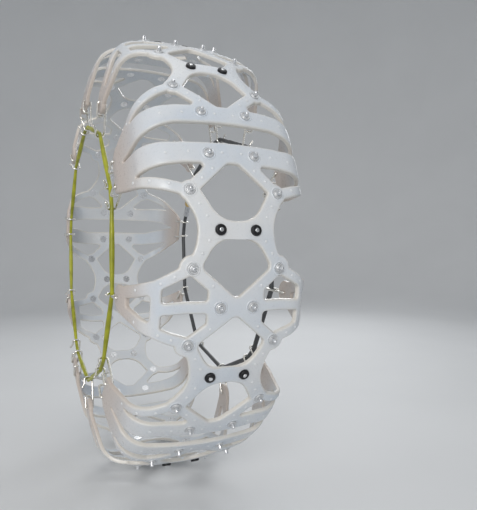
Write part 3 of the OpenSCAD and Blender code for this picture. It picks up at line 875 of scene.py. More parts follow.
@dataclass(frozen=True)
class StretchRubber:
    """Coloured elastic or a cable jacket, with a colour that drifts and fine drawing lines."""

    name: str
    light: Triple
    dark: Triple
    rough: Pair = (0.30, 0.48)
    glow: float = 0.12
    glow_tint: Triple = (1.0, 0.9, 0.4)
    glow_depth: float = 0.003
    drift: Triple = (45, 3, 0.4)
    skin: Pair = (700, 3)
    skin_bump: Pair = (0.18, 0.0002)
    gloss: Pair = (300, 3)

    @cached_property
    def material(self) -> bpy.types.Material:
        """Mix two colours by a slow noise, under an uneven gloss and a drawn skin.

        Returns:
            The finish as a material.
        """
        s = Shade(self.name)
        colour = s.blend(s.spread(s.noise(*self.drift), 0, 1), self.dark, self.light)
        skin = s.relief(s.noise(*self.skin), *self.skin_bump)
        gloss = s.spread(s.noise(*self.gloss), *self.rough)
        return s.done({"Base Color": colour, "Roughness": gloss, "Normal": skin,
                       "Subsurface Weight": self.glow, "Subsurface Radius": self.glow_tint,
                       "Subsurface Scale": self.glow_depth})


Finish = MilkyUrethane | BareMetal | StretchRubber


@dataclass(frozen=True)
class Finishes:
    """Every finish of the net."""

    urethane: MilkyUrethane = MilkyUrethane()
    # Pips lighter than their moulding: a painted highlight on their domes.
    pip: MilkyUrethane = MilkyUrethane(
        "pip_urethane_painted_highlight", clear=(0.70, 0.73, 0.76), cloudy=(0.78, 0.79, 0.80))
    stud: BareMetal = BareMetal(
        "stud_zinc", light=(0.85, 0.86, 0.88), dark=(0.73, 0.74, 0.76), rough=(0.20, 0.38),
        dents=0.08)
    collar: BareMetal = BareMetal(
        "collar_zinc", light=(0.70, 0.71, 0.72), dark=(0.56, 0.57, 0.58), rough=(0.38, 0.54),
        metal=0.6, dents=0.06)
    screw: BareMetal = BareMetal(
        "screw_zinc", light=(0.90, 0.91, 0.92), dark=(0.70, 0.71, 0.72), rough=(0.12, 0.26))
    nut: BareMetal = BareMetal(
        "nut_black", light=(0.022, 0.022, 0.025), dark=(0.008, 0.008, 0.010), rough=(0.28, 0.48),
        metal=0.35)
    hook: BareMetal = BareMetal(
        "hook_wire", light=(0.90, 0.88, 0.83), dark=(0.70, 0.68, 0.63), rough=(0.14, 0.30),
        grain=1400.0)
    ring: StretchRubber = StretchRubber(
        "ring_elastic", light=(0.40, 0.41, 0.020), dark=(0.21, 0.22, 0.010))
    jacket: StretchRubber = StretchRubber(
        "cable_jacket", light=(0.075, 0.078, 0.082), dark=(0.040, 0.042, 0.045),
        rough=(0.36, 0.55), glow=0.0)
    ferrule: BareMetal = BareMetal(
        "ferrule_steel", light=(0.60, 0.61, 0.63), dark=(0.44, 0.45, 0.47), rough=(0.24, 0.42))
    brass: BareMetal = BareMetal(
        "sleeve_brass", light=(0.80, 0.60, 0.26), dark=(0.62, 0.44, 0.17), rough=(0.20, 0.38))


def dress(obj: bpy.types.Object, finish: Finish, body: str, slot: str, *nodes: str) -> None:
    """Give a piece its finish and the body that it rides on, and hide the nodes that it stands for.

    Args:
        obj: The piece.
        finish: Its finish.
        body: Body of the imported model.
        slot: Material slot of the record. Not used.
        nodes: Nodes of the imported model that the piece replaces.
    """
    obj.data.materials.append(finish.material)
    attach(obj, body)
    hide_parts(*nodes)
    LOG.info("%s rides on %s: %d faces", obj.name, body, len(obj.data.polygons))


# Mouldings


@dataclass(frozen=True)
class Bar:
    """Lapped bolt bars, which the wing and fan mouldings share."""

    width: float = 21.0
    waist_v: float = 47.5
    elbow_v: float = 27.8
    corner_r: float = 36.0
    screw_v: float = 21.7
    lap_gap: float = 0.2

    def elbow(self, line: Line, bar_x: float, far_x: float, steps: int = 14) -> list[Array]:
        """Hollow of an elbow: the arc that touches a strap's outer edge and is lowest at the bar.

        Args:
            line: The strap's outer edge.
            bar_x: Place of the bar along the tread.
            far_x: Where the arc starts, past the bar.
            steps: Steps along the arc.

        Returns:
            Points from far_x to the strap.
        """
        d = np.abs(line[0] - line[1])
        lean = math.atan2(d[1], d[0])
        drop = self.waist_v - meet(line, upright(bar_x))[1]
        r = drop * math.cos(lean) / (1 - math.cos(lean))
        a = np.linspace(math.asin(min(1.0, (far_x - bar_x) / r)), -lean, steps + 1)
        return list(np.stack([bar_x + r * np.sin(a), self.waist_v + r * (1 - np.cos(a))], -1))


@dataclass(frozen=True)
class Relief:
    """Round feature of a face: a smooth ring, or a sunk seat with a soft wall, at given centres.

    The depth is one wave of a cosine between the two radii of a ring, and half a wave at a seat.
    """

    centres: Array
    inner: float
    outer: float
    depth: float
    ring: bool = False
    ring_cuts: int = 5
    seat_cuts: int = 3

    def knots(self) -> Array:
        """Radii at which the sheet is cut for this feature."""
        return np.linspace(self.inner, self.outer, self.ring_cuts if self.ring else self.seat_cuts)

    def radius(self, p: Array) -> Array:
        """Distance of points to the nearest centre."""
        return np.linalg.norm(p[:, None] - self.centres, axis=-1).min(1)

    def shape(self, p: Array) -> tuple[Array, Array]:
        """Depth under the face at points, and its slope.

        Args:
            p: Points in true widths.

        Returns:
            The depths, and slopes along the two directions.
        """
        way = p[:, None] - self.centres
        dist = np.linalg.norm(way, axis=-1)
        near = (np.arange(len(p)), dist.argmin(1))
        width = self.outer - self.inner
        t = np.clip((dist[near] - self.inner) / width, 0, 1)
        wave, sign = (2 * math.pi, -1) if self.ring else (math.pi, 1)
        rate = -sign * np.sin(wave * t) * wave / 2 / width
        out = way[near] / np.maximum(dist[near], TINY)[:, None]
        return self.depth * (1 + sign * np.cos(wave * t)) / 2, self.depth * rate[:, None] * out


@dataclass(frozen=True)
class Pattern:
    """Outlines in one quarter of a moulding, as points along the tread and across it.

    The boss at the corner stud grows into the soft openings and over the outside, and not into the
    hard openings.
    """

    soft: list[Array]
    hard: list[Array]
    outside: Array
    boss: Array
    studs: list[Array]
    pips: list[Array]
    holes: list[Array]


@dataclass(frozen=True)
class Moulding:
    """One kind of moulded segment: a flat pattern with rounded edges, bent over the envelope.

    A point u, v of the pattern at depth d lies at d under the outer face. Near the outline, at a
    distance e from it, the depth follows a quarter circle and a shallow crown that fades over the
    strap. Reliefs are given by two radii and a depth, and a pip's dome by shares of its sizes.
    """

    kind: str = ""
    bar_a: float = 0.0
    boss_r: float = 12.0
    stepped: Face = Face.OUTER
    middles: tuple[float, ...] = ()
    env: Envelope = Envelope()
    bar: Bar = Bar()
    cell: float = 1.9
    snap_share: float = 0.3
    outline_step: float = 5.0
    top_round: float = 2.2
    under_round: float = 0.9
    rows: Triple = (0.26, 0.9, 2.2)
    crown: float = 0.45
    crown_reach: float = 4.0
    fillet: float = 1.6
    hex_round: float = 8.0
    window_round: float = 4.0
    hook_hole_r: float = 1.9
    hole_steep: float = 2.0
    stud_ring: Triple = (6.2, 9.0, -0.8)
    nut_seat: Triple = (6.45, 6.9, 1.0)
    flange_seat: Triple = (7.2, 7.8, 0.35)
    pip_r: float = 1.9
    pip_h: float = 0.5
    pip_root: float = 0.9
    pip_dome: tuple[Pair, ...] = ((0.97, 0.0), (0.62, 0.78))
    pip_sides: int = 10
    pip_sharp: float = 60.0
    # Reach of the painted edge shade.
    edge_shade_reach: float = 2.6
    # Span across the tread over which the painted side shade comes in.
    side_shade_v: Pair = (85.0, 160.0)
    past_end: float = 1.0
    spare: float = 30.0

    @cached_property
    def bar_x(self) -> float:
        """Place of the bar along the tread."""
        return self.bar_a * self.env.mm_deg

    @cached_property
    def lap_x(self) -> float:
        """Place where the lapped end starts."""
        return self.bar_x - self.bar.width / 2

    @cached_property
    def end_x(self) -> float:
        """Place of the moulding's end."""
        return self.bar_x + self.bar.width / 2

    @cached_property
    def elbow_p(self) -> Array:
        """Point where a strap meets the bar."""
        return point(self.bar_x, self.bar.elbow_v)

    @cached_property
    def end_v(self) -> float:
        """Distance across the tread to the tips of the lugs."""
        raise NotImplementedError

    @cached_property
    def pattern(self) -> Pattern:
        """Outlines of this kind of moulding."""
        raise NotImplementedError

    @cached_property
    def studs(self) -> Array:
        """Places of all the studs."""
        return mirrored(self.pattern.studs)

    @cached_property
    def screws(self) -> Array:
        """Places of all the bar screws."""
        return mirrored([point(self.bar_x, self.bar.screw_v)])

    def around(self, strap_out: Line, edge_out: Line, lug: Sequence[Array]) -> Array:
        """Outline of the room outside a quarter of the moulding.

        Args:
            strap_out: Outer edge of the strap to the bar.
            edge_out: Outer edge of the arm to the lug.
            lug: Points from that arm round the lug to the middle.

        Returns:
            A closed outline, from the bar round the lug and past the moulding's end.
        """
        far_v = self.end_v + self.spare
        return np.array([*self.bar.elbow(strap_out, self.bar_x, self.end_x + self.past_end),
                         meet(strap_out, edge_out), *lug, point(0, far_v),
                         point(self.end_x + self.spare, far_v)])

    @cached_property
    def distance(self) -> Field:
        """Signed distance to the outline for points u and v, found in one quarter, negative inside.

        It is the greatest of the distances into the openings, with a boss blended in on the way.

        Returns:
            The field.
        """
        env, pat = self.env, self.pattern
        soft, hard, (outside,) = ([env.true_width(dense(o, self.outline_step)) for o in outlines]
                                  for outlines in (pat.soft, pat.hard, [pat.outside]))
        boss, holes = env.true_width(pat.boss[None]), env.true_width(np.array(pat.holes))

        def values(p: Array) -> Array:
            """Distance of points u and v.

            Args:
                p: The points.

            Returns:
                One distance for each point.
            """
            q = env.true_width(np.abs(p))
            d = np.max([-outline_distance(q, o) for o in (outside, *soft)], axis=0)
            d = soft_min(d, np.linalg.norm(q - boss, axis=1) - self.boss_r, self.fillet)
            d = np.max([d, *(-outline_distance(q, o) for o in hard)], axis=0)
            gap = np.linalg.norm(q[:, None] - holes, axis=-1).min(1)
            return np.maximum(d, self.hole_steep * (self.hook_hole_r - gap))

        return values

    @cached_property
    def reliefs(self) -> tuple[list[Relief], list[Relief]]:
        """Round features: rings and flange seats at the studs, and nut seats on the lapped bars.

        Returns:
            Those of the outer face, and those of the inner face.
        """
        studs = self.env.true_width(self.studs)
        outer = [Relief(studs, *self.stud_ring, ring=True)]
        if self.stepped is Face.INNER:
            outer.append(Relief(self.env.true_width(self.screws), *self.nut_seat))
        return outer, [Relief(studs, *self.flange_seat)]

    def sheet(self) -> TrimmedSheet:
        """Cut the flat sheet along the outline, the rows of the rounded edge and the reliefs.

        Returns:
            The trimmed sheet.
        """
        marks = [-self.end_x, -self.lap_x, self.lap_x, self.end_x]
        runs = [np.linspace(a, b, max(2, round((b - a) / self.cell)), endpoint=False)
                for a, b in zip(marks, marks[1:])]
        top = self.end_v + self.cell
        sheet = TrimmedSheet.from_grid(np.concatenate([*runs, [self.end_x]]),
                                       np.linspace(-top, top, 2 * round(top / self.cell) + 1))
        fixed = np.isin(np.round(sheet.points[:, 0], DIGITS), np.round(marks, DIGITS))
        sheet.snap(self.distance, self.snap_share * self.cell, fixed)
        sheet.cut(self.distance, 0.0)
        sheet.keep_inside(self.distance)
        for row in self.rows:
            sheet.cut(self.distance, -row)
        for relief in self.reliefs[0] + self.reliefs[1]:
            for knot in relief.knots():
                sheet.cut(lambda p, r=relief: r.radius(self.env.true_width(p)), knot)
        return sheet

    def bent(self) -> "BentSheet":
        """Work out both faces over the flat sheet, once for all the copies.

        Returns:
            The sheet with the depths and leans of its faces.
        """
        sheet = self.sheet()
        out = slope(self.distance, sheet.points)
        inset = np.maximum(-self.distance(sheet.points), 0)
        true = self.env.true_width(sheet.points)
        skins = []
        for radius, crown, reliefs in zip((self.top_round, self.under_round), (self.crown, 0.0),
                                          self.reliefs):
            lean = np.clip(1 - inset / radius, 0, 1)
            flat = np.sqrt(1 - lean ** 2)
            fade = crown * np.exp(-inset / self.crown_reach)
            depth = radius * (1 - flat) + fade
            tilt = out * (lean + flat * fade / self.crown_reach)[:, None]
            for relief in reliefs:
                more, rate = relief.shape(true)
                depth, tilt = depth + more, tilt + flat[:, None] * rate
            skins.append(Skin(depth, flat, tilt))
        return BentSheet(self, sheet, out, inset, *skins)

    def lathe(self, name: str, places: Array, profile: Sequence[Pair], sides: int, sharp: float,
              ring: bool = False) -> bpy.types.Object:
        """Turn one profile at the same places of every copy of the moulding.

        Args:
            name: Name of the object.
            places: Points u and v.
            profile: Radius and height pairs, from the bottom outwards and up.
            sides: Points round the axis.
            sharp: Angle past which an edge is shaded sharp.
            ring: Whether the profile is a closed loop, with a bore.

        Returns:
            One object with all of them.
        """
        shell, (r, h) = Shell(), np.array(profile, float).T
        for middle in self.middles:
            self.env.spots(places, middle).stand(shell, r, h, sides, ring)
        return shell.to_object(name, sharp)

    def build(self, finish: Finish, pip_finish: Finish) -> None:
        """Make every copy of this moulding, and the small domed pips that stand on the straps.

        Args:
            finish: Finish of the mouldings.
            pip_finish: Finish of the pips.
        """
        bent = self.bent()
        for k, middle in enumerate(self.middles, 1):
            obj = bent.shell(middle).to_object(f"{self.kind}_moulding_{k}")
            dress(obj, finish, "net", "tpu", f"{self.kind}_segment_{k}")
        r, h, root = self.pip_r, self.pip_h, -self.pip_root
        dome = [(0, root), (r, root), *((r * x, h * y) for x, y in self.pip_dome), (0, h)]
        pips = self.lathe(f"{self.kind}_pips", mirrored(self.pattern.pips), dome, self.pip_sides,
                          self.pip_sharp)
        dress(pips, pip_finish, "net", "tpu")


@dataclass(frozen=True)
class Skin:
    """One face over a flat sheet: depth from the ideal face, flatness and tilt at the points."""

    depth: Array
    flat: Array
    tilt: Array


def all_round(first: float) -> tuple[float, ...]:
    """Angles of the mouldings of one kind, evenly round the axis from the first."""
    return tuple(first + 360.0 / PER_KIND * k for k in range(PER_KIND))


def curtain(hi: Array, lo: Array, normal: Array) -> Patch:
    """Quads that hang from upper edges to lower ones, with the normals of the edges' ends."""
    return np.stack([hi[:, 0], lo[:, 0], lo[:, 1], hi[:, 1]], -1), normal[:, [0, 0, 1, 1]]


@dataclass(frozen=True)
class BentSheet:
    """Both faces of a moulding over its flat sheet, with walls at its outline and its laps."""

    mould: Moulding
    sheet: TrimmedSheet
    out: Array
    inset: Array
    top: Skin
    under: Skin

    @cached_property
    def on_line(self) -> Array:
        """Which points lie where a lap starts. They have a second point at the step's bottom."""
        return np.abs(np.abs(self.sheet.points[:, 0]) - self.mould.lap_x) <= ON_LINE

    @cached_property
    def lapped(self) -> Array:
        """Which triangles lie in a lap."""
        return np.abs(self.sheet.points[self.sheet.faces].mean(1)[:, 0]) > self.mould.lap_x

    @cached_property
    def step_of(self) -> Array:
        """Number of the second point for each point on the line, after those of both faces."""
        return np.cumsum(self.on_line) - 1 + 2 * len(self.sheet.points)

    def places(self, at: Spots) -> Array:
        """Points of the outer face, of the inner face and at the bottom of the steps.

        Args:
            at: Places on the ideal face.

        Returns:
            The points, in metres.
        """
        m = self.mould
        past = np.abs(self.sheet.points[:, 0]) > m.lap_x + ON_LINE
        half = (m.env.net_t + m.stepped.value * m.bar.lap_gap) / 2
        top, under = self.top.depth, m.env.net_t - self.under.depth
        if m.stepped is Face.OUTER:
            top = np.where(past, half, top)
        else:
            under = np.where(past, half, under)
        step = np.full(len(top), half)
        rows = [at.origin - at.z * (d * MM)[:, None] for d in (top, under, step)]
        return np.concatenate([rows[0], rows[1], rows[2][self.on_line]])

    def skins(self, at: Spots) -> list[Patch]:
        """Make both faces, with the step's own points and a plain normal in the laps.

        Args:
            at: Places on the ideal face.

        Returns:
            The outer and the inner face.
        """
        f, lap, patches = self.sheet.faces, self.lapped[:, None], []
        for face, skin in ((Face.OUTER, self.top), (Face.INNER, self.under)):
            sign = face.value
            tri = f if face is Face.OUTER else f + len(self.sheet.points)
            normal = unit(sign * skin.flat[:, None] * at.z + skin.tilt[:, :1] * at.x
                          + skin.tilt[:, 1:] * at.y)[f]
            if face is self.mould.stepped:
                tri = np.where(lap & self.on_line[f], self.step_of[f], tri)
                normal = np.where(lap[..., None], sign * at.z[f], normal)
            patches.append((tri[:, ::sign], normal[:, ::sign]))
        return patches

    def walls(self, at: Spots) -> list[Patch]:
        """Make the walls round the outline.

        Next to a step a wall takes in the step's bottom point, in three triangles.

        Args:
            at: Places on the ideal face.

        Returns:
            The walls.
        """
        pairs, owner = self.sheet.rim()
        ends, step, line = self.sheet.points[pairs], self.step_of[pairs], self.on_line[pairs]
        in_lap = self.lapped[owner][:, None]
        outer = self.mould.stepped is Face.OUTER
        hi = np.where(line & in_lap & outer, step, pairs)
        lo = np.where(line & in_lap & (not outer), step, pairs + len(self.sheet.points))
        at_end = (np.abs(np.abs(ends[..., 0]) - self.mould.end_x) < ON_LINE).all(1)
        side = self.out[:, :1] * at.x + self.out[:, 1:] * at.y
        endwise = np.sign(ends[:, :1, :1]) * at.x[pairs]
        normal = np.where(at_end[:, None, None], endwise, side[pairs])
        kinks = line & ~in_lap
        plain = ~kinks.any(1)
        patches = [curtain(hi[plain], lo[plain], normal[plain])]
        for k in (0, 1):
            own, far = kinks[:, k], 1 - k
            mid, top, low = step[own, k], hi[own, k], lo[own, k]
            across = np.repeat(normal[own, k][:, None], 3, 1)
            for tri in ((top, mid, hi[own, far]), (mid, low, hi[own, far]),
                        (low, lo[own, far], hi[own, far])):
                patches.append((np.stack(tri if k == 0 else tri[::-1], -1), across))
        return patches

    def steps(self, at: Spots) -> list[Patch]:
        """Make the walls where the laps start.

        Args:
            at: Places on the ideal face.

        Returns:
            The walls.
        """
        pairs, p = self.sheet.edges(), self.sheet.points
        seam = pairs[self.on_line[pairs].all(1) & ~np.repeat(self.lapped, 3)]
        hi, lo = seam, self.step_of[seam]
        if self.mould.stepped is Face.INNER:
            hi, lo = lo, seam + len(p)
        return [curtain(hi, lo, np.sign(p[seam][:, :1, :1]) * at.x[seam])]

    def shell(self, middle: float) -> Shell:
        """Bend the sheet over the envelope at one angle.

        Args:
            middle: Angle of the moulding's middle round the axis.

        Returns:
            A closed shell with a normal at every face corner.
        """
        m, p = self.mould, self.sheet.points
        at = m.env.spots(p, middle)
        faces, normals = zip(*self.skins(at), *self.walls(at), *self.steps(at))
        # The edge mark places the painted edge shade, the side mark the painted side shade.
        marks = {"edge": np.exp(-self.inset / m.edge_shade_reach),
                 # Painted side shade, darker down the sides and lugs.
                 "side": smooth_step(np.abs(p[:, 1]), *m.side_shade_v)}
        shell = Shell()
        shell.add(self.places(at), faces, normals,
                  {name: np.concatenate([a, a, a[self.on_line]]) for name, a in marks.items()})
        return shell


@dataclass(frozen=True)
class WingMoulding(Moulding):
    """Segment with crossing arms, a hub with two studs and one round lug on each side."""

    kind: str = "wing"
    bar_a: float = 15.235
    boss_r: float = 15.5
    middles: tuple[float, ...] = all_round(-10.9)
    corner_a: float = 7.66
    corner_v: float = 53.4
    stud_v: float = 20.0
    arm_w: float = 15.0
    strap_w: float = 16.5
    spine_w: float = 13.8
    hub_v: float = 35.0
    rib_v: float = 94.0
    rib_w: float = 14.0
    edge_a: float = 4.85
    edge_w: float = 14.0
    window_a: float = 2.9
    window_tip_a: float = 1.05
    window_land: float = 17.0
    lug_r: float = 16.0
    lug_sweep: float = 100.0
    lug_steps: int = 24
    arm_pips: tuple[float, ...] = (0.56,)
    strap_pips: tuple[float, ...] = (0.40, 0.72)
    edge_pips: tuple[float, ...] = (0.48, 0.86)
    lug_pips: tuple[float, ...] = (0.5,)
    lug_pip_share: float = 0.9
    lug_pip_back: float = 8.0

    @cached_property
    def end_v(self) -> float:
        """Distance across the tread to the tip of the lug."""
        return self.env.hole_v + self.lug_r

    @cached_property
    def pattern(self) -> Pattern:
        """Outlines of the wing moulding: edges of its straps, cut at their crossings and rounded.

        Returns:
            The outlines in one quarter.
        """
        env, deg = self.env, self.env.mm_deg
        hub, corner = np.zeros(2), point(self.corner_a * deg, self.corner_v)
        rib = point(self.edge_a * deg, self.rib_v)
        arm_in, arm_out = strap(hub, corner, self.arm_w)
        strap_in, strap_out = strap(corner, self.elbow_p, self.strap_w)
        edge_out, edge_in = strap(corner, rib, self.edge_w)
        half = [meet(arm_in, strap_in), meet(strap_in, upright(self.lap_x))]
        turns = [self.hex_round, self.bar.corner_r]
        hexagon = rounded([meet(arm_in, level(0)), *half, *flip(half, 1, -1)],
                          [self.hex_round, *turns, *turns[::-1]])
        rib_in, rib_out = self.rib_v - self.rib_w / 2, self.rib_v + self.rib_w / 2
        spine = self.spine_w / 2
        window = rounded([point(spine, self.hub_v), meet(arm_out, level(self.hub_v)),
                          meet(arm_out, edge_in), meet(edge_in, level(rib_in)),
                          point(spine, rib_in)], self.window_round)
        side = [point(self.window_a * deg, rib_out),
                point(self.window_tip_a * deg, env.lug_start - self.window_land)]
        side_window = rounded([*side, *flip(side, -1, 1)], self.window_round)
        hole_r = float(env.section(env.hole_v)[0])
        a = np.radians(np.linspace(self.lug_sweep, 0, self.lug_steps + 1))
        r = hole_r - self.lug_r * np.cos(a)
        nose = np.stack([self.lug_r * np.sin(a) * env.net_r / r, env.hole_v + hole_r - r], -1)
        lug = point(self.lug_r * self.lug_pip_share, env.lug_start - self.lug_pip_back)
        return Pattern(
            soft=[], hard=[hexagon, window, side_window], boss=corner,
            outside=self.around(strap_out, edge_out, [edge_out[1], *nose]),
            studs=[point(0, self.stud_v), corner],
            pips=[*along(hub, corner, self.arm_pips), *along(corner, self.elbow_p, self.strap_pips),
                  *along(corner, rib, self.edge_pips), *along(rib, lug, self.lug_pips)],
            holes=[point(0, env.hole_v)])


@dataclass(frozen=True)
class FanMoulding(Moulding):
    """Segment with two cross bands, a slit between them and one wide lug on each side."""

    kind: str = "fan"
    bar_a: float = 20.765
    stepped: Face = Face.INNER
    middles: tuple[float, ...] = all_round(25.1)
    corner_a: float = 12.9
    corner_v: float = 54.5
    stud_a: float = 5.1
    stud_v: float = 28.7
    band_a: float = 4.8
    band_w: float = 27.0
    diag_root_v: float = 4.0
    diag_w: float = 16.0
    strap_w: float = 21.5
    arm_a: float = 6.7
    arm_w: float = 13.5
    arm_shift: float = 1.25
    slit_v: float = 65.0
    slit_land: float = 18.0
    slit_tip: float = 1.5
    vertex_round: float = 3.0
    tip_round: float = 1.0
    point_round: float = 2.0
    lug_a: float = 5.6
    lug_len: float = 15.3
    lug_round: float = 5.0
    hook_a: float = 4.2
    band_pips: tuple[float, ...] = (12.0, 52.0, 78.0)
    diag_pips: tuple[float, ...] = (0.44, 0.70)
    strap_pips: tuple[float, ...] = (0.36, 0.66)
    arm_pips: tuple[float, ...] = (0.24, 0.48, 0.78)

    @cached_property
    def end_v(self) -> float:
        """Distance across the tread to the end of the lug."""
        return self.env.lug_start + self.lug_len

    @cached_property
    def pattern(self) -> Pattern:
        """Outlines of the fan moulding: edges of its straps, cut at their crossings and rounded.

        Returns:
            The outlines in one quarter.
        """
        env, deg = self.env, self.env.mm_deg
        corner = point(self.corner_a * deg, self.corner_v)
        root = point(self.band_a * deg, self.diag_root_v)
        arm_end = point(self.arm_a * deg, env.lug_start - self.slit_land)
        diag_in, diag_out = strap(root, corner, self.diag_w)
        strap_in, strap_out = strap(corner, self.elbow_p, self.strap_w)
        arm_out, arm_in = strap(corner, arm_end, self.arm_w, -self.arm_shift)
        band_out, band_in = upright(root[0] + self.band_w / 2), root[0] - self.band_w / 2
        half = [meet(band_out, diag_in), meet(diag_in, strap_in),
                meet(strap_in, upright(self.lap_x))]
        turns = [self.hex_round, self.vertex_round, self.bar.corner_r]
        hexagon = rounded([*half, *flip(half, 1, -1)], [*turns, *turns[::-1]])
        window = rounded([meet(band_out, diag_out), meet(diag_out, arm_in), meet(arm_in, band_out)],
                         [self.window_round, self.window_round, self.tip_round])
        slit = [point(band_in, self.slit_v), point(self.slit_tip, arm_end[1])]
        slit += flip(slit, -1, 1)
        slit = rounded([*slit, *flip(slit[::-1], -1, -1)], self.point_round)
        lug = rounded([arm_out[1], point(self.lug_a * deg, self.end_v), point(0, self.end_v)],
                      [0, self.lug_round, 0], closed=False)
        return Pattern(
            soft=[window], hard=[hexagon, slit], boss=corner,
            outside=self.around(strap_out, arm_out, lug),
            studs=[point(self.stud_a * deg, self.stud_v), corner],
            pips=[*(point(root[0], v) for v in self.band_pips),
                  *along(root, corner, self.diag_pips),
                  *along(corner, self.elbow_p, self.strap_pips),
                  *along(corner, arm_end, self.arm_pips)],
            holes=[point(self.hook_a * deg, env.hole_v)])


# Studs, screws and nuts


def worn(r: float, top: float, cuts: Sequence[Pair]) -> list[Pair]:
    """Points of a worn corner, each by how far it lies in from the radius and down from the top."""
    return [(r - inward, top - down) for inward, down in cuts]


@dataclass(frozen=True)
class StudSet:
    """Studs of one kind of moulding: pins with a flange under the tread, and dished collars."""

    mould: Moulding
    pin_r: float = 2.5
    height: float = 7.5
    taper: float = 1.5
    neck: Pair = (0.15, 0.35)
    tip_r: float = 1.5
    tip: tuple[Pair, ...] = ((-0.25, 0.25), (0.0, 0.05), (0.4, 0.0))
    flange_r: float = 7.0
    flange_t: float = 1.5
    flange_cut: float = 0.3
    root: float = 0.4
    pin_sides: int = 20
    pin_sharp: float = 35.0
    fit: float = 0.05
    collar_r: float = 6.0
    collar_t: float = 1.6
    seat: float = 0.15
    foot: Pair = (0.2, 0.4)
    ridge: tuple[Pair, ...] = ((0.05, 0.6), (0.35, 0.9), (0.8, 1.0), (1.25, 0.88), (1.6, 0.55),
                               (2.0, 0.42))
    lip: tuple[Pair, ...] = ((0.75, 0.5), (0.45, 0.8), (0.1, 0.85), (0.0, 0.75))
    collar_sides: int = 28
    collar_sharp: float = 50.0

    @cached_property
    def pin(self) -> list[Pair]:
        """Profile of a pin: flange in the inner face, shank, short taper and worn tip.

        Returns:
            Radius and height pairs.
        """
        low, high, shank = -self.mould.env.net_t, self.height, self.height - self.taper
        r, f, t, cut = self.pin_r, self.flange_r, self.flange_t, self.flange_cut
        return [(0, low), (f - cut, low), (f, low + cut), (f, low + t), (r, low + t + self.root),
                (r, shank), (r - self.neck[0], shank + self.neck[1]),
                *worn(self.tip_r, high, self.tip), (0, high)]

    @cached_property
    def collar(self) -> list[Pair]:
        """Profile of a collar: a rounded ridge near the rim, a groove and a low lip round the pin.

        The ridge is given by distances in from the rim, the lip by distances out from the bore,
        and both by shares of the height.

        Returns:
            Radius and height pairs, in a loop.
        """
        r, bore, t = self.collar_r, self.pin_r + self.fit, self.collar_t
        return [(bore, self.seat), (r - self.foot[0], self.seat), (r, self.foot[1]),
                *((r - inward, t * share) for inward, share in self.ridge),
                *((bore + out, t * share) for out, share in self.lip)]

    def build(self, pin_finish: Finish, collar_finish: Finish) -> None:
        """Make the pins and the collars.

        Args:
            pin_finish: Finish of the pins.
            collar_finish: Finish of the collars.
        """
        m, kind = self.mould, self.mould.kind
        pins = m.lathe(f"{kind}_pins", m.studs, self.pin, self.pin_sides, self.pin_sharp)
        dress(pins, pin_finish, "net", "stud_steel", f"{kind}_stud_pins")
        collars = m.lathe(f"{kind}_collars", m.studs, self.collar, self.collar_sides,
                          self.collar_sharp, ring=True)
        dress(collars, collar_finish, "net", "collar_steel", f"{kind}_stud_collars")


@dataclass(frozen=True)
class BarFastenings:
    """Screws through the lapped bars, with a flat head inside and a round black nut outside."""

    mould: Moulding
    screw_r: float = 2.5
    proud: float = 0.8
    screw_end: tuple[Pair, ...] = ((0.0, 0.45), (0.12, 0.2), (0.45, 0.0))
    head_r: float = 7.0
    head_t: float = 1.6
    head_seat: float = 0.8
    head_cut: float = 0.5
    drive_r: Pair = (1.6, 1.9)
    drive_depth: float = 0.35
    screw_sides: int = 24
    screw_sharp: float = 35.0
    fit: float = 0.05
    nut_r: float = 6.3
    nut_t: float = 4.0
    nut_seat: float = 1.0
    nut_foot: Pair = (0.15, 0.3)
    nut_shoulder: tuple[Pair, ...] = ((0.0, 1.3), (0.2, 0.65), (0.6, 0.2), (1.2, 0.0))
    nut_sink: Pair = (0.55, 0.5)
    nut_sides: int = 36
    nut_sharp: float = 40.0

    @cached_property
    def screw(self) -> list[Pair]:
        """Profile of a screw, from the recess in its head to its rounded end.

        Returns:
            Radius and height pairs.
        """
        top = self.nut_t - self.nut_seat + self.proud
        low = self.head_seat - self.head_t - self.mould.env.net_t
        r, h, cut, recess = self.screw_r, self.head_r, self.head_cut, low + self.drive_depth
        return [(0, recess), (self.drive_r[0], recess), (self.drive_r[1], low), (h - cut, low),
                (h, low + cut), (h, low + self.head_t), (r, low + self.head_t),
                *worn(r, top, self.screw_end), (0, top)]

    @cached_property
    def nut(self) -> list[Pair]:
        """Profile of a nut: rounded shoulders, a flat top and a countersunk bore.

        Returns:
            Radius and height pairs, in a loop.
        """
        low, high = -self.nut_seat, self.nut_t - self.nut_seat
        r, bore, (inward, up) = self.nut_r, self.screw_r + self.fit, self.nut_foot
        return [(bore, low), (r - inward, low), (r, low + up),
                *worn(r, high, self.nut_shoulder),
                (bore + self.nut_sink[0], high), (bore, high - self.nut_sink[1])]

    def build(self, screw_finish: Finish, nut_finish: Finish) -> None:
        """Make the screws and the nuts.

        Args:
            screw_finish: Finish of the screws.
            nut_finish: Finish of the nuts.
        """
        m = self.mould
        screws = m.lathe("bar_screw_set", m.screws, self.screw, self.screw_sides,
                         self.screw_sharp)
        dress(screws, screw_finish, "net", "screw_steel", "bar_screws")
        nuts = m.lathe("bar_nut_set", m.screws, self.nut, self.nut_sides, self.nut_sharp,
                       ring=True)
        dress(nuts, nut_finish, "net", "nut_black", "bar_nuts")


# Hooks, ring and cable


